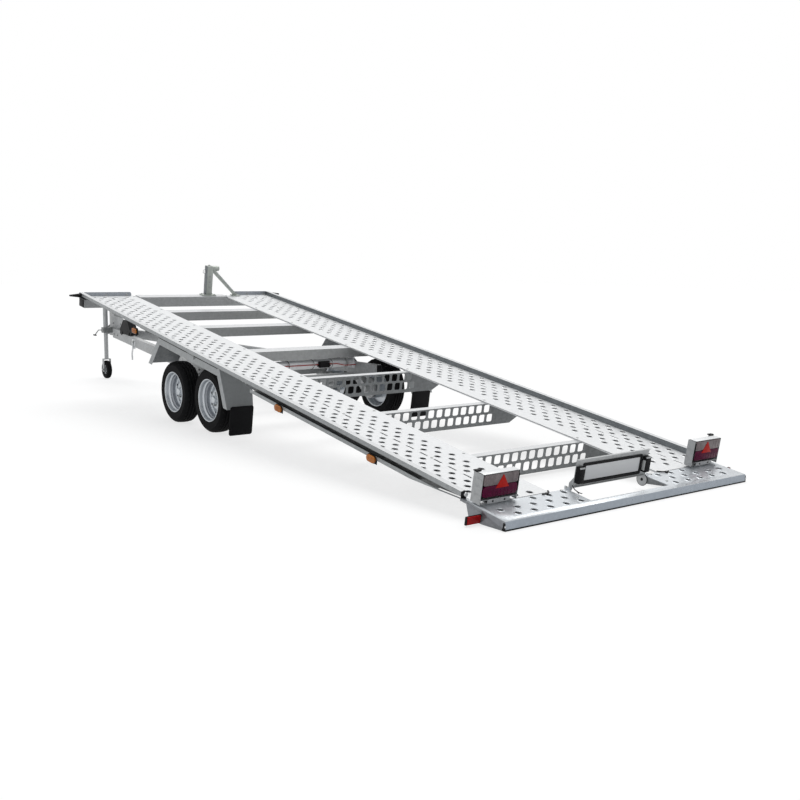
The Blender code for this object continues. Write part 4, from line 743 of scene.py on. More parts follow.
def tail_rubber():
    """Black strip under the rear lip and the corner caps."""
    piece = Piece("tail_buffer")
    strip = [(-0.3864, -0.0435), (-0.3872, -0.0517), (-0.36, -0.056), (-0.36, -0.0435)]
    piece.prism("black", strip, "YZ", -1.1015, 1.1015)
    cap = [(-0.38, -0.008), (-0.3868, -0.051), (-0.366, -0.0545), (-0.366, -0.008)]
    for piece.side in SIDES.values():
        piece.prism("black", cap, "YZ", 1.1004, 1.105)
        piece.box("plate", (1.099, -0.3855, -0.032), (1.1062, -0.38, -0.021), 0.001)
    piece.done("bed", "rubber")


def tail_seam(word):
    """Dark joint between track and tail, its catch, and the round bar at the rail's end."""
    piece = Piece("tail_seam", word)
    piece.box("hole", (TRACK_INNER, -0.1228, 0.0001), (0.93, -0.1204, 0.0012))
    catch = [(TRACK_INNER, -0.105, 0.003), (0.522, -0.132, 0.006), (0.556, -0.15, 0.006),
             (0.585, -0.138, 0.004)]
    piece.tube("black", bend([piece.out(spot) for spot in catch], 0.015), 0.0042, 8)
    piece.bar("black", (0.556, -0.148, 0.004), 0.011, 0.008, "Z", 18, 0.0015)
    piece.bar("bright", (1.08, -0.0145, 0.027), 0.0125, 0.025, "Y", 24, 0.0015)
    ring = [(0.013, -0.006), (0.019, -0.006), (0.02, 0.0), (0.019, 0.006), (0.013, 0.006)]
    piece.lathe("black", ring, (1.08, -0.008, 0.027), "Y", 28, True)
    piece.done("bed", "galvanised")


# Bed details

def side_marker(word, index, along):
    """Amber side marker hung under the rail on a black bracket."""
    piece = Piece(f"side_marker_{index}", word)
    rear, front = along - 0.052, along + 0.052
    top, floor = -0.013, -0.071
    piece.box("black", (1.095, rear, floor), (1.099, front, top), 0.0015)
    piece.prism("black", soft_rectangle(rear, front, floor, top - 0.004, 0.026, 6), "YZ",
                1.0992, 1.105, 0.002)
    lens = soft_rectangle(rear + 0.003, front - 0.01, floor + 0.004, top - 0.007, 0.023, 7)
    piece.prism("amber", lens, "YZ", 1.1048, 1.119, 0.005)
    for rib in range(6):
        place = along - 0.03 + rib * 0.01
        piece.box("amber", (1.1185, place, floor + 0.011), (1.1203, place + 0.002, top - 0.014),
                  0.0006)
    piece.done("bed", "lamp_lens")


def rail_fixings(word):
    """Bolts through the rail's web, its end plug and the beam plugs."""
    piece = Piece("rail_fixings", word)
    for along in (5.92, 5.23, 4.49, 3.51, 2.6, 1.6, 0.6):
        for step in (-0.025, 0.025):
            piece.bolt((RAIL_WEB + 0.004, along + step, -0.004), "X", 0.008)
    piece.box("rubber", (RAIL_WEB + 0.0005, -0.006, -0.0045), (HALF_BED - 0.0005, -0.0003, 0.0395),
              0.002)
    piece.done("bed", "galvanised")
    plug = Piece("beam_plug", word)
    plug.box("black", (1.1003, 5.887, -0.092), (1.104, 6.011, -0.0145), 0.0018)
    plug.box("black", (1.1035, 5.897, -0.082), (1.1055, 6.001, -0.025), 0.001)
    plug.done("bed", "black_plastic")


def headboard_bolts(word):
    piece = Piece("headboard_bolts", word)
    inner = {"left": 0.549, "right": 0.635}[word]
    for across in (inner + 0.05, 0.82, 1.03):
        piece.bolt((across, 6.0246, 0.012), "Y", 0.009, 0.008)
        piece.bolt((across, RAIL_FRONT, 0.012), "Y", sign=-1)
    piece.done("bed", "galvanised")


def front_marker(word):
    """Rubber arm that tapers out from the bed's front corner to a slim tip."""
    piece = Piece("front_marker_arm", word)
    rows = []
    steps = 8
    for step in range(steps + 1):
        share = sin(step / steps * pi / 2)
        half_up = (0.043 + (0.015 - 0.043) * share) / 2
        half_along = (0.052 + (0.036 - 0.052) * share) / 2
        if step == steps:
            half_up, half_along = half_up * 0.55, half_along * 0.7
        rows.append([piece.out((
            HALF_BED + 0.0005 + 0.1135 * share, 5.985 + half_along * cos(angle),
            0.0145 + half_up * sin(angle))) for angle in angles(16)])
    piece.add(skin(rows, capped=True), "rubber")
    piece.box("rubber", (1.1003, 5.953, -0.01), (1.1045, 6.017, 0.038), 0.0015)
    piece.done("bed", "rubber", "front_marker_" + word)


def guard_details(word):
    """Rivets and bolts of a mudguard, and the flap's clamping strip."""
    piece = Piece("mudguard_trim", word)
    top, foot = Vector((3.04, GUARD_TOP)), Vector((2.87, GUARD_FOOT))
    place = foot - (foot - top).normalized() * 0.02
    for index in range(6):
        piece.bar("bolt", (0.835 + index * 0.034, place[0] - 0.0028, place[1]), 0.006, 0.006, "Y",
                  16, 0.0015)
    strip = [(2.8695, -0.309), (2.8665, -0.307), (2.879, -0.286), (2.882, -0.288)]
    piece.prism("guard", strip, "YZ", 0.818, 1.03)
    for along in (3.12, 3.62, 4.12):
        piece.bolt((1.02, along, -0.0195), "Z", 0.009, 0.006)
    for share in (0.12, 0.5, 0.88):
        piece.bar("bolt", (GUARD_OUTER, 4.17 + 0.19 * share, GUARD_TOP - 0.28 * share), 0.0055,
                  0.004, "X", 16, 0.001)
    piece.done("bed", "galvanised")


POST_ACROSS, POST_ALONG = 0.306, 5.97
POST_HALF = 0.035
POST_TOP = 0.334
STUB_UP = 0.3045


def winch_post():
    """Square post on its foot, with the stub tube, the brace, a cap, bolts and a chain ring."""
    piece = Piece("winch_post_shaped")
    left, right = POST_ACROSS - POST_HALF, POST_ACROSS + POST_HALF
    rear, front = POST_ALONG - POST_HALF, POST_ALONG + POST_HALF
    # The post's left face takes the darker inner finish: painted shade.
    piece.add(box((left, rear, 0.009), (right, front, POST_TOP), 0.005), "post", "inner",
              lambda middle, normal: normal.x < -0.9)
    piece.box("post", (POST_ACROSS - 0.077, rear - 0.022, 0.0088),
              (POST_ACROSS + 0.077, front + 0.008, 0.0218), 0.0015)
    start = right - 0.004
    brace = [(start, 0.326), (start, 0.276), (0.62, 0.012), (0.664, 0.012)]
    piece.prism("post", brace, "XZ", POST_ALONG - 0.018, POST_ALONG + 0.018, 0.003)
    piece.box("post", (0.6, rear, 0.0006), (0.69, front, 0.012), 0.0015)
    piece.bar("post", (0.3775, POST_ALONG, STUB_UP), 0.0285, 0.077, "X", 32, 0.002)
    piece.bar("black", (0.4165, POST_ALONG, STUB_UP), 0.0262, 0.0035, "X", 28, 0.001)
    cap = [(0.0, 0.0), (0.0125, 0.0), (0.0125, 0.006), (0.009, 0.01), (0.0, 0.011)]
    piece.lathe("bolt", cap, (POST_ACROSS, POST_ALONG, POST_TOP), "Z", 20)
    for across in (POST_ACROSS - 0.058, POST_ACROSS + 0.058):
        for along in (rear - 0.01, front - 0.01):
            piece.bolt((across, along, 0.0218), "Z", 0.0085)
    for up in (0.1, 0.16, 0.22):
        piece.bolt((POST_ACROSS, rear - 0.0002, up), "Y", sign=-1)
    ring = [(left - 0.006 - 0.014 * (1 - cos(angle)), POST_ALONG,
             0.27 + 0.02 * sin(angle)) for angle in angles(20)]
    piece.tube("bright", ring, 0.0035, 8, True)
    piece.done("bed", "galvanised", "winch_post")


# Rear lamps and number plate

def tail_lamp(word):
    """Combined rear lamp: black case, clear top, dark red bottom and the triangle."""
    piece = Piece("tail_lamp_lens", word)
    low, high = 0.8105, 1.0845
    face, rib_face = -0.1375, -0.1552
    case = soft_rectangle(low, high, 0.0465, 0.1875, 0.026, 7)
    piece.prism("black", case, "XZ", -0.0986, -0.138, 0.003)
    for look, floor, top, corner, steps in (("smoke", 0.1185, 0.1835, 0.016, 5),
                                            ("wine", 0.0505, 0.1175, 0.024, 7)):
        lens = soft_rectangle(low + 0.005, high - 0.004, floor, top, corner, steps)
        piece.prism(look, lens, "XZ", face, -0.1545, 0.0045)
    middle = 0.938
    triangle = [(middle - 0.052, 0.1), (middle + 0.052, 0.1), (middle, 0.179)]
    piece.prism("signal", triangle, "XZ", -0.154, -0.157, 0.0012)
    for index in range(9):
        across = 0.832 + index * 0.0285
        if abs(across - middle) > 0.055:
            piece.box("smoke", (across, rib_face, 0.126), (across + 0.0022, -0.1543, 0.176))
        piece.box("wine", (across, rib_face, 0.057), (across + 0.0022, -0.1543, 0.099))
    piece.box("black", (low, -0.1556, 0.064), (low + 0.0075, face, 0.172), 0.002)
    # Pale sheet on the bracket's top face: painted highlight.
    piece.box("track", (low + 0.002, -0.15, 0.1872), (high - 0.002, -0.099, 0.1896), 0.0008)
    for across in (low + 0.004, high - 0.004):
        for up in (0.058, 0.178):
            piece.bar("bolt", (across, -0.1395, up), 0.004, 0.005, "Y", 16, 0.001)
    piece.done("lamp_" + word, "lamp_lens", "tail_lamp_" + word)


def lamp_fittings(word):
    """Bolts, cable gland, cap and foot of a rear lamp's bracket."""
    piece = Piece("lamp_fittings", word)
    for up in (0.15, 0.08):
        for across in (0.85, 1.02):
            piece.bolt((across, -0.0918, up), "Y", 0.0065, 0.006)
    cap = [(-0.0915, 0.1865), (-0.062, 0.1865), (-0.06, 0.193), (-0.08, 0.1965),
           (-0.0915, 0.195)]
    piece.prism("black", cap, "YZ", 1.05, 1.088, 0.002)
    piece.box("black", (0.845, -0.0918, 0.098), (0.925, -0.07, 0.138), 0.004)
    piece.bar("black", (0.885, -0.081, 0.092), 0.008, 0.016, "Z", 18, 0.002)
    foot = [(-0.149, 0.0105), (-0.149, 0.034), (-0.146, 0.034), (-0.146, 0.0135),
            (-0.098, 0.0135), (-0.098, 0.0105)]
    piece.prism("galvanised", foot, "YZ", 0.86, 1.03)
    # Near-black discs on the foot's holes: painted shade.
    for across in (0.9, 0.99):
        piece.bar("hole", (across, -0.1493, 0.022), 0.0065, 0.0012, "Y", 18)
        piece.bar("hole", (across, -0.122, 0.0142), 0.008, 0.0012, "Z", 18)
    for up in (0.06, 0.105, 0.15):
        piece.box("galvanised", (1.0885, -0.145, up), (1.0907, -0.1, up + 0.006), 0.001)
    piece.done("lamp_" + word, "galvanised")


def rear_marker(word):
    """Red lens that faces back from a small bracket outside the cheek."""
    piece = Piece("rear_marker", word)
    piece.box("galvanised", (1.0985, -0.176, -0.078), (1.206, -0.172, -0.03), 0.001)
    piece.box("black", (1.1005, -0.18, -0.0785), (1.209, -0.1762, -0.0275), 0.0015)
    lens = soft_rectangle(1.106, 1.204, -0.0755, -0.03, 0.005)
    piece.prism("red", lens, "XZ", -0.1802, -0.1935, 0.003)
    for across in (1.104, 1.2045):
        piece.box("black", (across, -0.192, -0.077), (across + 0.004, -0.1802, -0.0285), 0.001)
    piece.done("bed", "lamp_lens")


def plate_frame():
    """Frame round the blank plate."""
    piece = Piece("plate_frame")
    outer = soft_rectangle(-0.272, 0.272, 0.029, 0.161, 0.008, 3)
    inner = soft_rectangle(-0.254, 0.254, 0.046, 0.144, 0.004, 3)
    rings = ((outer, -0.1452), (outer, -0.1515), (inner, -0.1523), (inner, -0.1483))
    points = [(across, along, up) for ring, along in rings for across, up in ring]
    count = len(outer)
    faces = []
    for index in range(count):
        after = (index + 1) % count
        for row in range(0, 3 * count, count):
            faces.append((row + index, row + after, row + count + after, row + count + index))
    piece.data(points, faces, "black")
    piece.box("black", (-0.26, -0.15, 0.0465), (0.26, -0.1489, 0.05))
    piece.done("plate", "black_plastic")


def plate_lamps():
    """The two lamps beside the plate, each with its window and three ribs."""
    piece = Piece("plate_lamps")
    loop = [(-0.1445, 0.0435), (-0.1762, 0.0435), (-0.1775, 0.05), (-0.1775, 0.13),
            (-0.17, 0.1465), (-0.1445, 0.1465)]
    for piece.side in SIDES.values():
        piece.prism("black", loop, "YZ", 0.2825, 0.3295, 0.002)
        piece.box("white", (0.2795, -0.1735, 0.056), (0.2826, -0.152, 0.122), 0.001)
        for up in (0.066, 0.096, 0.126):
            piece.box("black", (0.29, -0.1792, up), (0.322, -0.1774, up + 0.006), 0.0008)
    piece.done("plate", "black_plastic")


def plate_hinges():
    """Hinge ears under the tail and the flanges beside them."""
    piece = Piece("plate_hinge_plates")
    middle = (0.358, -0.112, -0.033)
    piece.bar("galvanised", middle, 0.04, 0.0034, "X", 40, 0.0008)
    # Near-black disc in the ear's hole: painted shade.
    piece.bar("hole", (0.356, *middle[1:]), 0.01, 0.002, "X", 20, 0.0004)
    rim = [(0.0398, -0.002), (0.0424, -0.002), (0.0424, 0.002), (0.0398, 0.002)]
    piece.lathe("black", rim, middle, "X", 40, True)
    # Flanges in the darker slotted finish: painted shade.
    flange = [(-0.128, -0.0045), (-0.3205, -0.0045), (-0.3205, -0.012), (-0.128, -0.056)]
    for piece.side in SIDES.values():
        piece.prism("slotted", flange, "YZ", 0.3604, 0.3634)
        piece.bar("bolt", (0.366, -0.1225, 0.014), 0.0075, 0.003, "X", 18, 0.0006)
    piece.done("bed", "galvanised")


def plate_stay():
    """Two thin wires under the left end of the plate."""
    piece = Piece("plate_stay")
    path = [(-0.345, -0.1475, 0.03), (-0.347, -0.17, 0.012), (-0.349, -0.215, 0.006),
            (-0.349, -0.235, 0.01)]
    piece.tube("black", bend(path, 0.015), 0.0028, 8)
    path = [(-0.338, -0.1475, 0.018), (-0.34, -0.185, 0.004), (-0.341, -0.205, -0.004)]
    piece.tube("black", bend(path, 0.01), 0.0022, 8)
    piece.done("plate", "black_plastic")


# Wheels

TREAD = doubled(tenths([
    (1732, 640), (1736, 700), (1790, 750), (1850, 778), (1900, 800), (1915, 808), (1930, 802),
    (2060, 818), (2240, 824), (2390, 812), (2405, 818), (2425, 806), (2510, 765), (2585, 705),
    (2640, 640), (2675, 580), (2700, 560), (2722, 455), (2660, 442), (2660, 382), (2735, 368),
    (2746, 190), (2680, 178), (2680, 112), (2749.5, 98)]))
DISH = tenths([
    (1822, 745), (1806, 706), (1727, 703), (1727, 520), (1660, 450), (1560, 250), (1550, -120),
    (1660, -300), (1727, -400), (1727, -703), (1806, -706), (1822, -745), (1800, -785),
    (1750, -780), (1690, -720), (1665, -400), (1600, -310), (1480, -180), (1420, -245),
    (985, -250), (985, -1235), (240, -1235), (240, 90), (0, 90), (0, 390), (180, 382), (290, 345),
    (335, 280), (345, 200), (370, 180), (375, -50), (450, -60), (600, -60), (680, -30), (780, -10),
    (900, -30), (1000, -100), (1200, -175), (1340, -195), (1410, -150), (1430, -80), (1440, 100),
    (1465, 175), (1530, 220), (1560, 270), (1565, 330), (1590, 380), (1650, 420), (1672, 470),
    (1680, 640), (1705, 705), (1720, 760), (1755, 790), (1800, 782)])
BARREL = (0.143, 0.1572)


def tyre_notch(step, along):
    """Cross grooves in the tread's shoulders and between its ribs."""
    if step % 4 == 0 and 0.04 < abs(along) < 0.058:
        return 0.0042
    if step % 4 == 2 and 0.018 < abs(along) < 0.037:
        return 0.003
    return 0.0


def wheel(place, word):
    """Tyre with its tread, and dished rim with its nuts, vents and valve."""
    middle = (WHEEL_X, WHEELS[place], TYRE_RADIUS)
    body = f"wheel_{place}_{word}"
    tyre = Piece(f"tyre_tread_{place}", word, FLOOR)
    tyre.add(lathe(TREAD, tyre.out(middle), "X", 132, tyre.side, notch=tyre_notch), "tyre")
    tyre.done(body, "tyre", f"tyre_{place}_{word}")
    rim = Piece(f"rim_dish_{place}", word, FLOOR)

    def in_barrel(spot, normal):
        return BARREL[0] < hypot(spot.y - middle[1], spot.z - middle[2]) < BARREL[1]
    # Faces on the barrel band take the darker barrel finish: painted shade.
    rim.add(lathe(DISH, rim.out(middle), "X", 96, rim.side, True), "rim", "barrel", in_barrel)
    for angle in angles(5):
        rim.bolt(around(middle, 0.056, angle + 0.3, -0.006), "X", 0.0105, 0.017)
    ring = [(0.0125, 0.0006), (0.0125, 0.0026), (0.0145, 0.0028), (0.0165, 0.0004)]
    # Near-black discs in the vents: painted shade, with a rim round each.
    for angle in angles(8, 0.5):
        spot = around(middle, 0.12, angle, -0.0182)
        rim.bar("hole", spot, 0.0125, 0.003, "X", 20, 0.0006)
        rim.lathe("rim", ring, spot, "X", 20)
    valve = around(middle, 0.158, tau * 0.31, 0.05)
    rim.bar("rubber", valve, 0.0048, 0.034, "X", 14, 0.001)
    rim.done(body, "rim", f"rim_{place}_{word}")


# Drawbar and nose

ARM_BENDS_AT, ARM_RUN = 4.45, 3.15


def arm_bottom(along):
    return 0.42 + 0.1 * max(0.0, (along - ARM_BENDS_AT) / ARM_RUN)


def arm_inner(along):
    return 0.59 + (0.0503 - 0.59) * max(0.0, (along - ARM_BENDS_AT) / ARM_RUN)


NOSE_FLOOR = arm_bottom(7.6) + 0.012
NOSE_MIDDLE = NOSE_FLOOR + 0.045
NOSE_TOP = NOSE_FLOOR + 0.09


def nose_shape():
    """Overrun housing with the control plate on its left side."""
    piece = Piece("nose_shaped", place=FLOOR)
    cutter = box((-0.02, 7.3, NOSE_TOP + 0.0002), (0.02, 7.9, NOSE_TOP + 0.3))
    piece.take(carve(node_mesh("nose_housing", FLOOR), [cutter]), "galvanised")
    loop = [(along, NOSE_TOP + up) for along, up in (
        (7.42, -0.008), (7.85, -0.008), (7.85, 0.235), (7.54, 0.235), (7.42, 0.115))]
    piece.prism("galvanised", loop, "YZ", -0.048, -0.04, 0.001)
    piece.done("chassis", "galvanised", "nose_housing")


def nose_bellows():
    piece = Piece("nose_bellows", place=FLOOR)
    loop = [(0.0305, -0.001)]
    for index in range(5):
        loop += [(0.041, 0.004 + index * 0.013), (0.0335, 0.0105 + index * 0.013)]
    loop.append((0.0305, 0.0665))
    piece.lathe("rubber", loop, (0, 7.8615, NOSE_MIDDLE), "Y", 36)
    piece.done("chassis", "rubber")


def nose_details():
    """Fittings of the control plate, bolts through the arms and the coupling's grip."""
    piece = Piece("nose_fittings", place=FLOOR)
    for along, up in ((7.5, 0.06), (7.74, 0.06), (7.74, 0.185)):
        piece.bolt((-0.0482, along, NOSE_TOP + up), "X", 0.009, 0.008, -1)
        piece.bolt((-0.0398, along, NOSE_TOP + up), "X")
    for piece.side in SIDES.values():
        for along in (7.34, 7.52):
            place = (arm_inner(along) + 0.0612, along, arm_bottom(along) + 0.05)
            piece.bolt(place, "X", 0.011, 0.01)
        for along in (7.7, 7.82):
            piece.bolt((0.0502, along, NOSE_MIDDLE), "X", 0.009, 0.008)
    piece.box("galvanised", (-0.046, 7.66, NOSE_TOP + 0.0003), (0.046, 7.855, NOSE_TOP + 0.006),
              0.0015)
    piece.done("chassis", "galvanised")
    head = Piece("coupling_fittings", place=FLOOR)
    base = NOSE_FLOOR + 0.0075
    for along in (7.945, 7.985):
        for head.side in SIDES.values():
            head.bolt((0.0392, along, base + 0.036), "X", 0.008, 0.009)
    grip = [(0, 7.985, base + 0.09), (0, 7.93, base + 0.109), (0, 7.875, base + 0.121)]
    head.tube("rubber", bend(grip, 0.02), 0.0165, 16)
    head.done("chassis", "rubber")


JOCKEY_X, JOCKEY_Y = -0.12, 7.8
JOCKEY_MIDDLE = (JOCKEY_X, JOCKEY_Y, 0.111)


def jockey_details():
    """Tread, hub discs, fork bolts, collars, crank grip and T-handle of the jockey wheel."""
    roller = Piece("jockey_wheel_tread", place=FLOOR)
    tread = doubled([
        (0.054, 0.017), (0.06, 0.0245), (0.075, 0.0292), (0.096, 0.029), (0.1045, 0.024),
        (0.1085, 0.019), (0.11, 0.011), (0.1075, 0.0095), (0.1075, 0.006), (0.11095, 0.005)])
    roller.lathe("tyre", tread, JOCKEY_MIDDLE, "X", 64)
    disc = [(0.0095, 0.0302), (0.022, 0.0302), (0.026, 0.027), (0.028, 0.019), (0.05, 0.0165),
            (0.0585, 0.0195), (0.06, 0.025)]
    for sign in (1, -1):
        roller.add(lathe(disc, JOCKEY_MIDDLE, "X", 48, sign), "wheel_blue")
        # Near-black discs in the hub discs' holes: painted shade.
        for angle in angles(6):
            spot = around(JOCKEY_MIDDLE, 0.041, angle, sign * 0.0176)
            roller.bar("hole", spot, 0.0065, 0.002, "X", 16)
    roller.done("jockey_roller", "rubber", "jockey_wheel")
    leg = Piece("jockey_fork_bolt", place=FLOOR)
    for sign in (1, -1):
        leg.bolt((JOCKEY_X + sign * 0.0502, *JOCKEY_MIDDLE[1:]), "X", 0.0115, 0.009, sign)
    leg.done("jockey_leg", "galvanised")
    piece = Piece("jockey_fittings", place=FLOOR)
    collar = [(0.0284, -0.009), (0.0325, -0.009), (0.0325, 0.009), (0.0284, 0.009)]
    piece.lathe("cast", collar, (JOCKEY_X, JOCKEY_Y, 0.575), "Z", 32, True)
    cap = [(0.0, 0.006), (0.02, 0.0058), (0.0295, 0.002), (0.0295, -0.022), (0.0282, -0.022)]
    piece.lathe("cast", cap, (JOCKEY_X, JOCKEY_Y, 0.966), "Z", 32)
    grip = [(0.0, 0.012), (0.008, 0.011), (0.0125, 0.004), (0.0125, -0.055), (0.01, -0.062),
            (0.0, -0.062)]
    piece.lathe("rubber", grip, (JOCKEY_X, 7.68, 0.985), "Z", 24)
    piece.tube("rubber", [(-0.25, 7.782, 0.538), (-0.25, 7.858, 0.538)], 0.0085, 16)
    for along in (7.778, 7.822):
        piece.bolt((-0.1602, along, 0.597), "X", 0.01, 0.01, -1)
    piece.done("chassis", "rubber")


def lever():
    """Left drawbar arm with its hanging lever set back to the photo's place."""
    piece = Piece("drawbar_arm_lever_set_back", place=FLOOR)
    old = -arm_inner(6.7) - 0.03
    cutter = box((old - 0.03, 6.6, 0.2), (old + 0.03, 6.8, arm_bottom(6.6) - 0.0004))
    piece.take(carve(node_mesh("drawbar_arm_left", FLOOR), [cutter]), "arm")
    along = 6.5
    across, low = -arm_inner(along) - 0.064, arm_bottom(along)

    def spot(aside, ahead, up):
        return (across + aside, along + ahead, low + up)
    piece.box("track", spot(-0.004, -0.045, -0.02), spot(0.0, 0.045, 0.085), 0.001)
    piece.bar("bolt", spot(-0.01, 0.0, 0.06), 0.013, 0.018, "X", 20, 0.002)
    rod = [spot(-0.012, 0.008, 0.07), spot(-0.014, -0.01, 0.0), spot(-0.012, 0.03, -0.075),
           spot(-0.012, 0.022, -0.145)]
    piece.tube("track", bend(rod, 0.03), 0.0085, 12)
    piece.tube("bolt", [spot(-0.012, -0.03, 0.066), spot(-0.012, 0.048, 0.052)], 0.007, 12)
    piece.done("chassis", "galvanised", "drawbar_arm_left")


CHOCK_FROM, CHOCK_ALONG = 7.05, 6.86
CHOCK_STRETCH = 0.32 / 0.26


def chock():
    """Stowed wheel chock, set back along the left arm, and its brackets."""
    piece = Piece("wheel_chock_set_back", place=FLOOR)
    aside = arm_inner(CHOCK_FROM) - arm_inner(CHOCK_ALONG)
    drop = arm_bottom(CHOCK_ALONG + 0.16) - arm_bottom(CHOCK_FROM + 0.13)
    piece.take(shifted(node_mesh("wheel_chock", FLOOR), lambda across, along, up: (
        across + aside, CHOCK_ALONG + (along - CHOCK_FROM) * CHOCK_STRETCH, up + drop)), "black")
    piece.done("chassis", "black_plastic", "wheel_chock")
    brackets = Piece("chock_brackets", place=FLOOR)
    across = -arm_inner(CHOCK_ALONG) - 0.03
    base = arm_bottom(CHOCK_ALONG + 0.16) + 0.1003
    for along in (CHOCK_ALONG - 0.1, CHOCK_ALONG + 0.1):
        for low, high in ((-0.0495, -0.0455), (0.0455, 0.0495)):
            brackets.box("black", (across + low, along - 0.02, base - 0.012),
                         (across + high, along + 0.02, base + 0.028), 0.001)
    brackets.done("chassis", "black_plastic")


def arm_details():
    """Suspension bolts and cable clips on both drawbar arms."""
    piece = Piece("arm_fixings", place=FLOOR)
    places = [(along + 0.13, 0.042, 0.452) for along in WHEELS.values()] + [(3.52, 0.035, 0.5)]
    for piece.side in SIDES.values():
        for along, half, up in places:
            for step in (-half, half):
                piece.bolt((0.6512, along + step, up), "X", 0.009, 0.008)
        piece.box("black", (0.5905, 3.115, 0.4205), (0.6495, 3.119, 0.5195), 0.002)
    piece.done("chassis", "galvanised")


def cable_details():
    """Ties and junction box of the cable on the rear of the cross tube."""
    piece = Piece("cable_ties", place=FLOOR)
    along, height = 3.5199, 0.5154
    for across in (-0.33, -0.12, 0.14, 0.34):
        ring = []
        for angle in angles(28):
            reach = 0.0445 + 0.011 * max(0.0, cos(angle)) ** 3
            ring.append((across, along - reach * cos(angle), height + reach * sin(angle)))
        piece.tube("black", ring, 0.0022, 6, True)
        piece.box("tie", (across - 0.005, along - 0.064, height + 0.004),
                  (across + 0.005, along - 0.054, height + 0.014), 0.001)
    piece.done("chassis", "black_plastic")
    case = Piece("cable_junction", place=FLOOR)
    case.box("black", (0.19, along - 0.074, height - 0.03),
             (0.3, along - 0.0425, height + 0.03), 0.006)
    case.box("black", (0.196, along - 0.0765, height - 0.024),
             (0.294, along - 0.073, height + 0.024), 0.0015)
    for across in (0.185, 0.305):
        case.bar("black", (across, along - 0.056, height - 0.012), 0.0075, 0.02, "X", 18, 0.002)
    case.done("chassis", "black_plastic")


NODE_LOOKS = {
    "side_beam": "rail", "winch_post": "post", "mudguard": "guard", "coupling_head": "cast",
    "jockey_clamp": "cast", "jockey_wheel": "rubber", "wheel_chock": "black",
    "brake_cable": "cable", "number_plate": "plate", "mudflap": "rubber",
    "front_marker": "rubber", "tail_plate": "tail", "tail_lamp": "wine", "drawbar_arm": "arm",
    "pivot_tube": "tube", "headboard": "head", "slotted": "slotted", "cross_beam": "beam",
    "tyre": "tyre", "rim": "rim", "track": "track"}


def paint_nodes():
    """Finish of every CAD node, by the start of its name."""
    for name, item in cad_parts.items():
        found = [look for start, look in NODE_LOOKS.items() if name.startswith(start)]
        for slot in item.material_slots:
            slot.material = LOOK[found[0] if found else "galvanised"]


# Stage

def seen_white(tree, plain, white):
    """Shows the white shader to rays that see the stage straight, mirrored or through glass."""
    path = add_node(tree, "LightPath").outputs
    seen = math_node(tree, "MAXIMUM", path["Is Camera Ray"], path["Is Glossy Ray"])
    seen = math_node(tree, "MAXIMUM", seen, path["Is Transmission Ray"])
    mix = add_node(tree, "MixShader", Fac=seen)
    tree.links.new(plain, mix.inputs[1])
    tree.links.new(white, mix.inputs[2])
    return mix.outputs["Shader"]


def make_floor():
    size, level = 60.0, -0.0006
    corners = [(-size, -size), (size, -size), (size, size), (-size, size)]
    mesh = bpy.data.meshes.new("floor")
    mesh.from_pydata([(*corner, level) for corner in corners], [], [(0, 1, 2, 3)])
    item = bpy.data.objects.new("floor", mesh)
    link(item)
    look = bpy.data.materials.new("floor")
    look.use_nodes = True
    tree = look.node_tree
    tree.nodes.clear()
    matt = add_node(tree, "BsdfDiffuse", Color=(0.8, 0.8, 0.8, 1))
    pale = add_node(tree, "BsdfDiffuse", Color=(0.32, 0.32, 0.32, 1))
    glow = add_node(tree, "Emission", Strength=0.72)
    both = add_node(tree, "AddShader")
    tree.links.new(pale.outputs["BSDF"], both.inputs[0])
    tree.links.new(glow.outputs["Emission"], both.inputs[1])
    add_node(tree, "OutputMaterial",
             Surface=seen_white(tree, matt.outputs["BSDF"], both.outputs["Shader"]))
    mesh.materials.append(look)


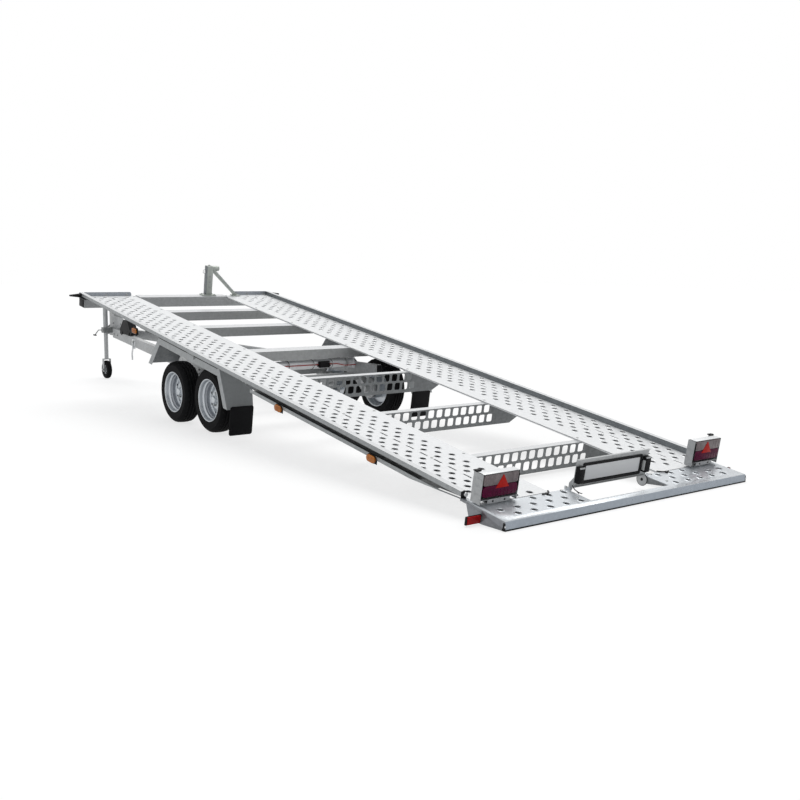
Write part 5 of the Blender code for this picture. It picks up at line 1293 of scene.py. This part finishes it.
def make_world():
    world = bpy.data.worlds.new("studio")
    bpy.context.scene.world = world
    world.use_nodes = True
    tree = world.node_tree
    tree.nodes.clear()
    ambient = add_node(tree, "Background", Color=(0.93, 0.96, 1.0, 1), Strength=0.42)
    white = add_node(tree, "Background", Color=(1, 1, 1, 1), Strength=1.0)
    add_node(tree, "OutputWorld", Surface=seen_white(
        tree, ambient.outputs["Background"], white.outputs["Background"]))


def make_sun():
    data = bpy.data.lights.new("key", "SUN")
    data.energy = 1.75
    data.angle = radians(50)
    data.color = (1.0, 0.99, 0.97)
    item = bpy.data.objects.new("key", data)
    link(item)
    item.rotation_euler = (radians(-14), radians(16), 0)


def make_camera():
    turn, down, roll = radians(37.763), radians(7.917), radians(0.6437)
    data = bpy.data.cameras.new("camera")
    data.sensor_width = 36
    data.lens = 44.88
    data.shift_x = -0.0053
    data.shift_y = 0.00765
    item = bpy.data.objects.new("camera", data)
    link(item)
    item.matrix_world = (
        Matrix.Translation((-4.724, -4.153 - MIDDLE_Y, 1.3996))
        @ Matrix.Rotation(-turn, 4, "Z") @ Matrix.Rotation(pi / 2 - down, 4, "X")
        @ Matrix.Rotation(roll, 4, "Z"))
    bpy.context.scene.camera = item


paint_nodes()
for word in SIDES:
    for build in (rail, track, rail_fixings, tail_seam, headboard_bolts, front_marker, guard,
                  mudflap, guard_details, tail_lamp, lamp_fittings, rear_marker):
        build(word)
    for index, along in enumerate((4.59, 2.01, 0.855)):
        side_marker(word, index, along)
    for place in WHEELS:
        wheel(place, word)
front_beam()
for node in ("cross_beam_front", "cross_beam_middle"):
    tapered_beam(node, PLAIN_BEAMS[node], 0.1, 0.86, "beam")
# Slotted beams in the darker slotted finish: painted shade.
for node, along in SLOTTED_BEAMS.items():
    tapered_beam(node, along, 0.19, 0.785, "slotted")
for build in (tail, tail_rubber, beam_top_highlights, winch_post, plate_frame, plate_lamps, plate_hinges,
              plate_stay, nose_shape, nose_bellows, nose_details, jockey_details, lever, chock,
              arm_details, cable_details, make_floor, make_world, make_sun, make_camera):
    build()
bpy.context.scene.view_settings.view_transform = "Standard"
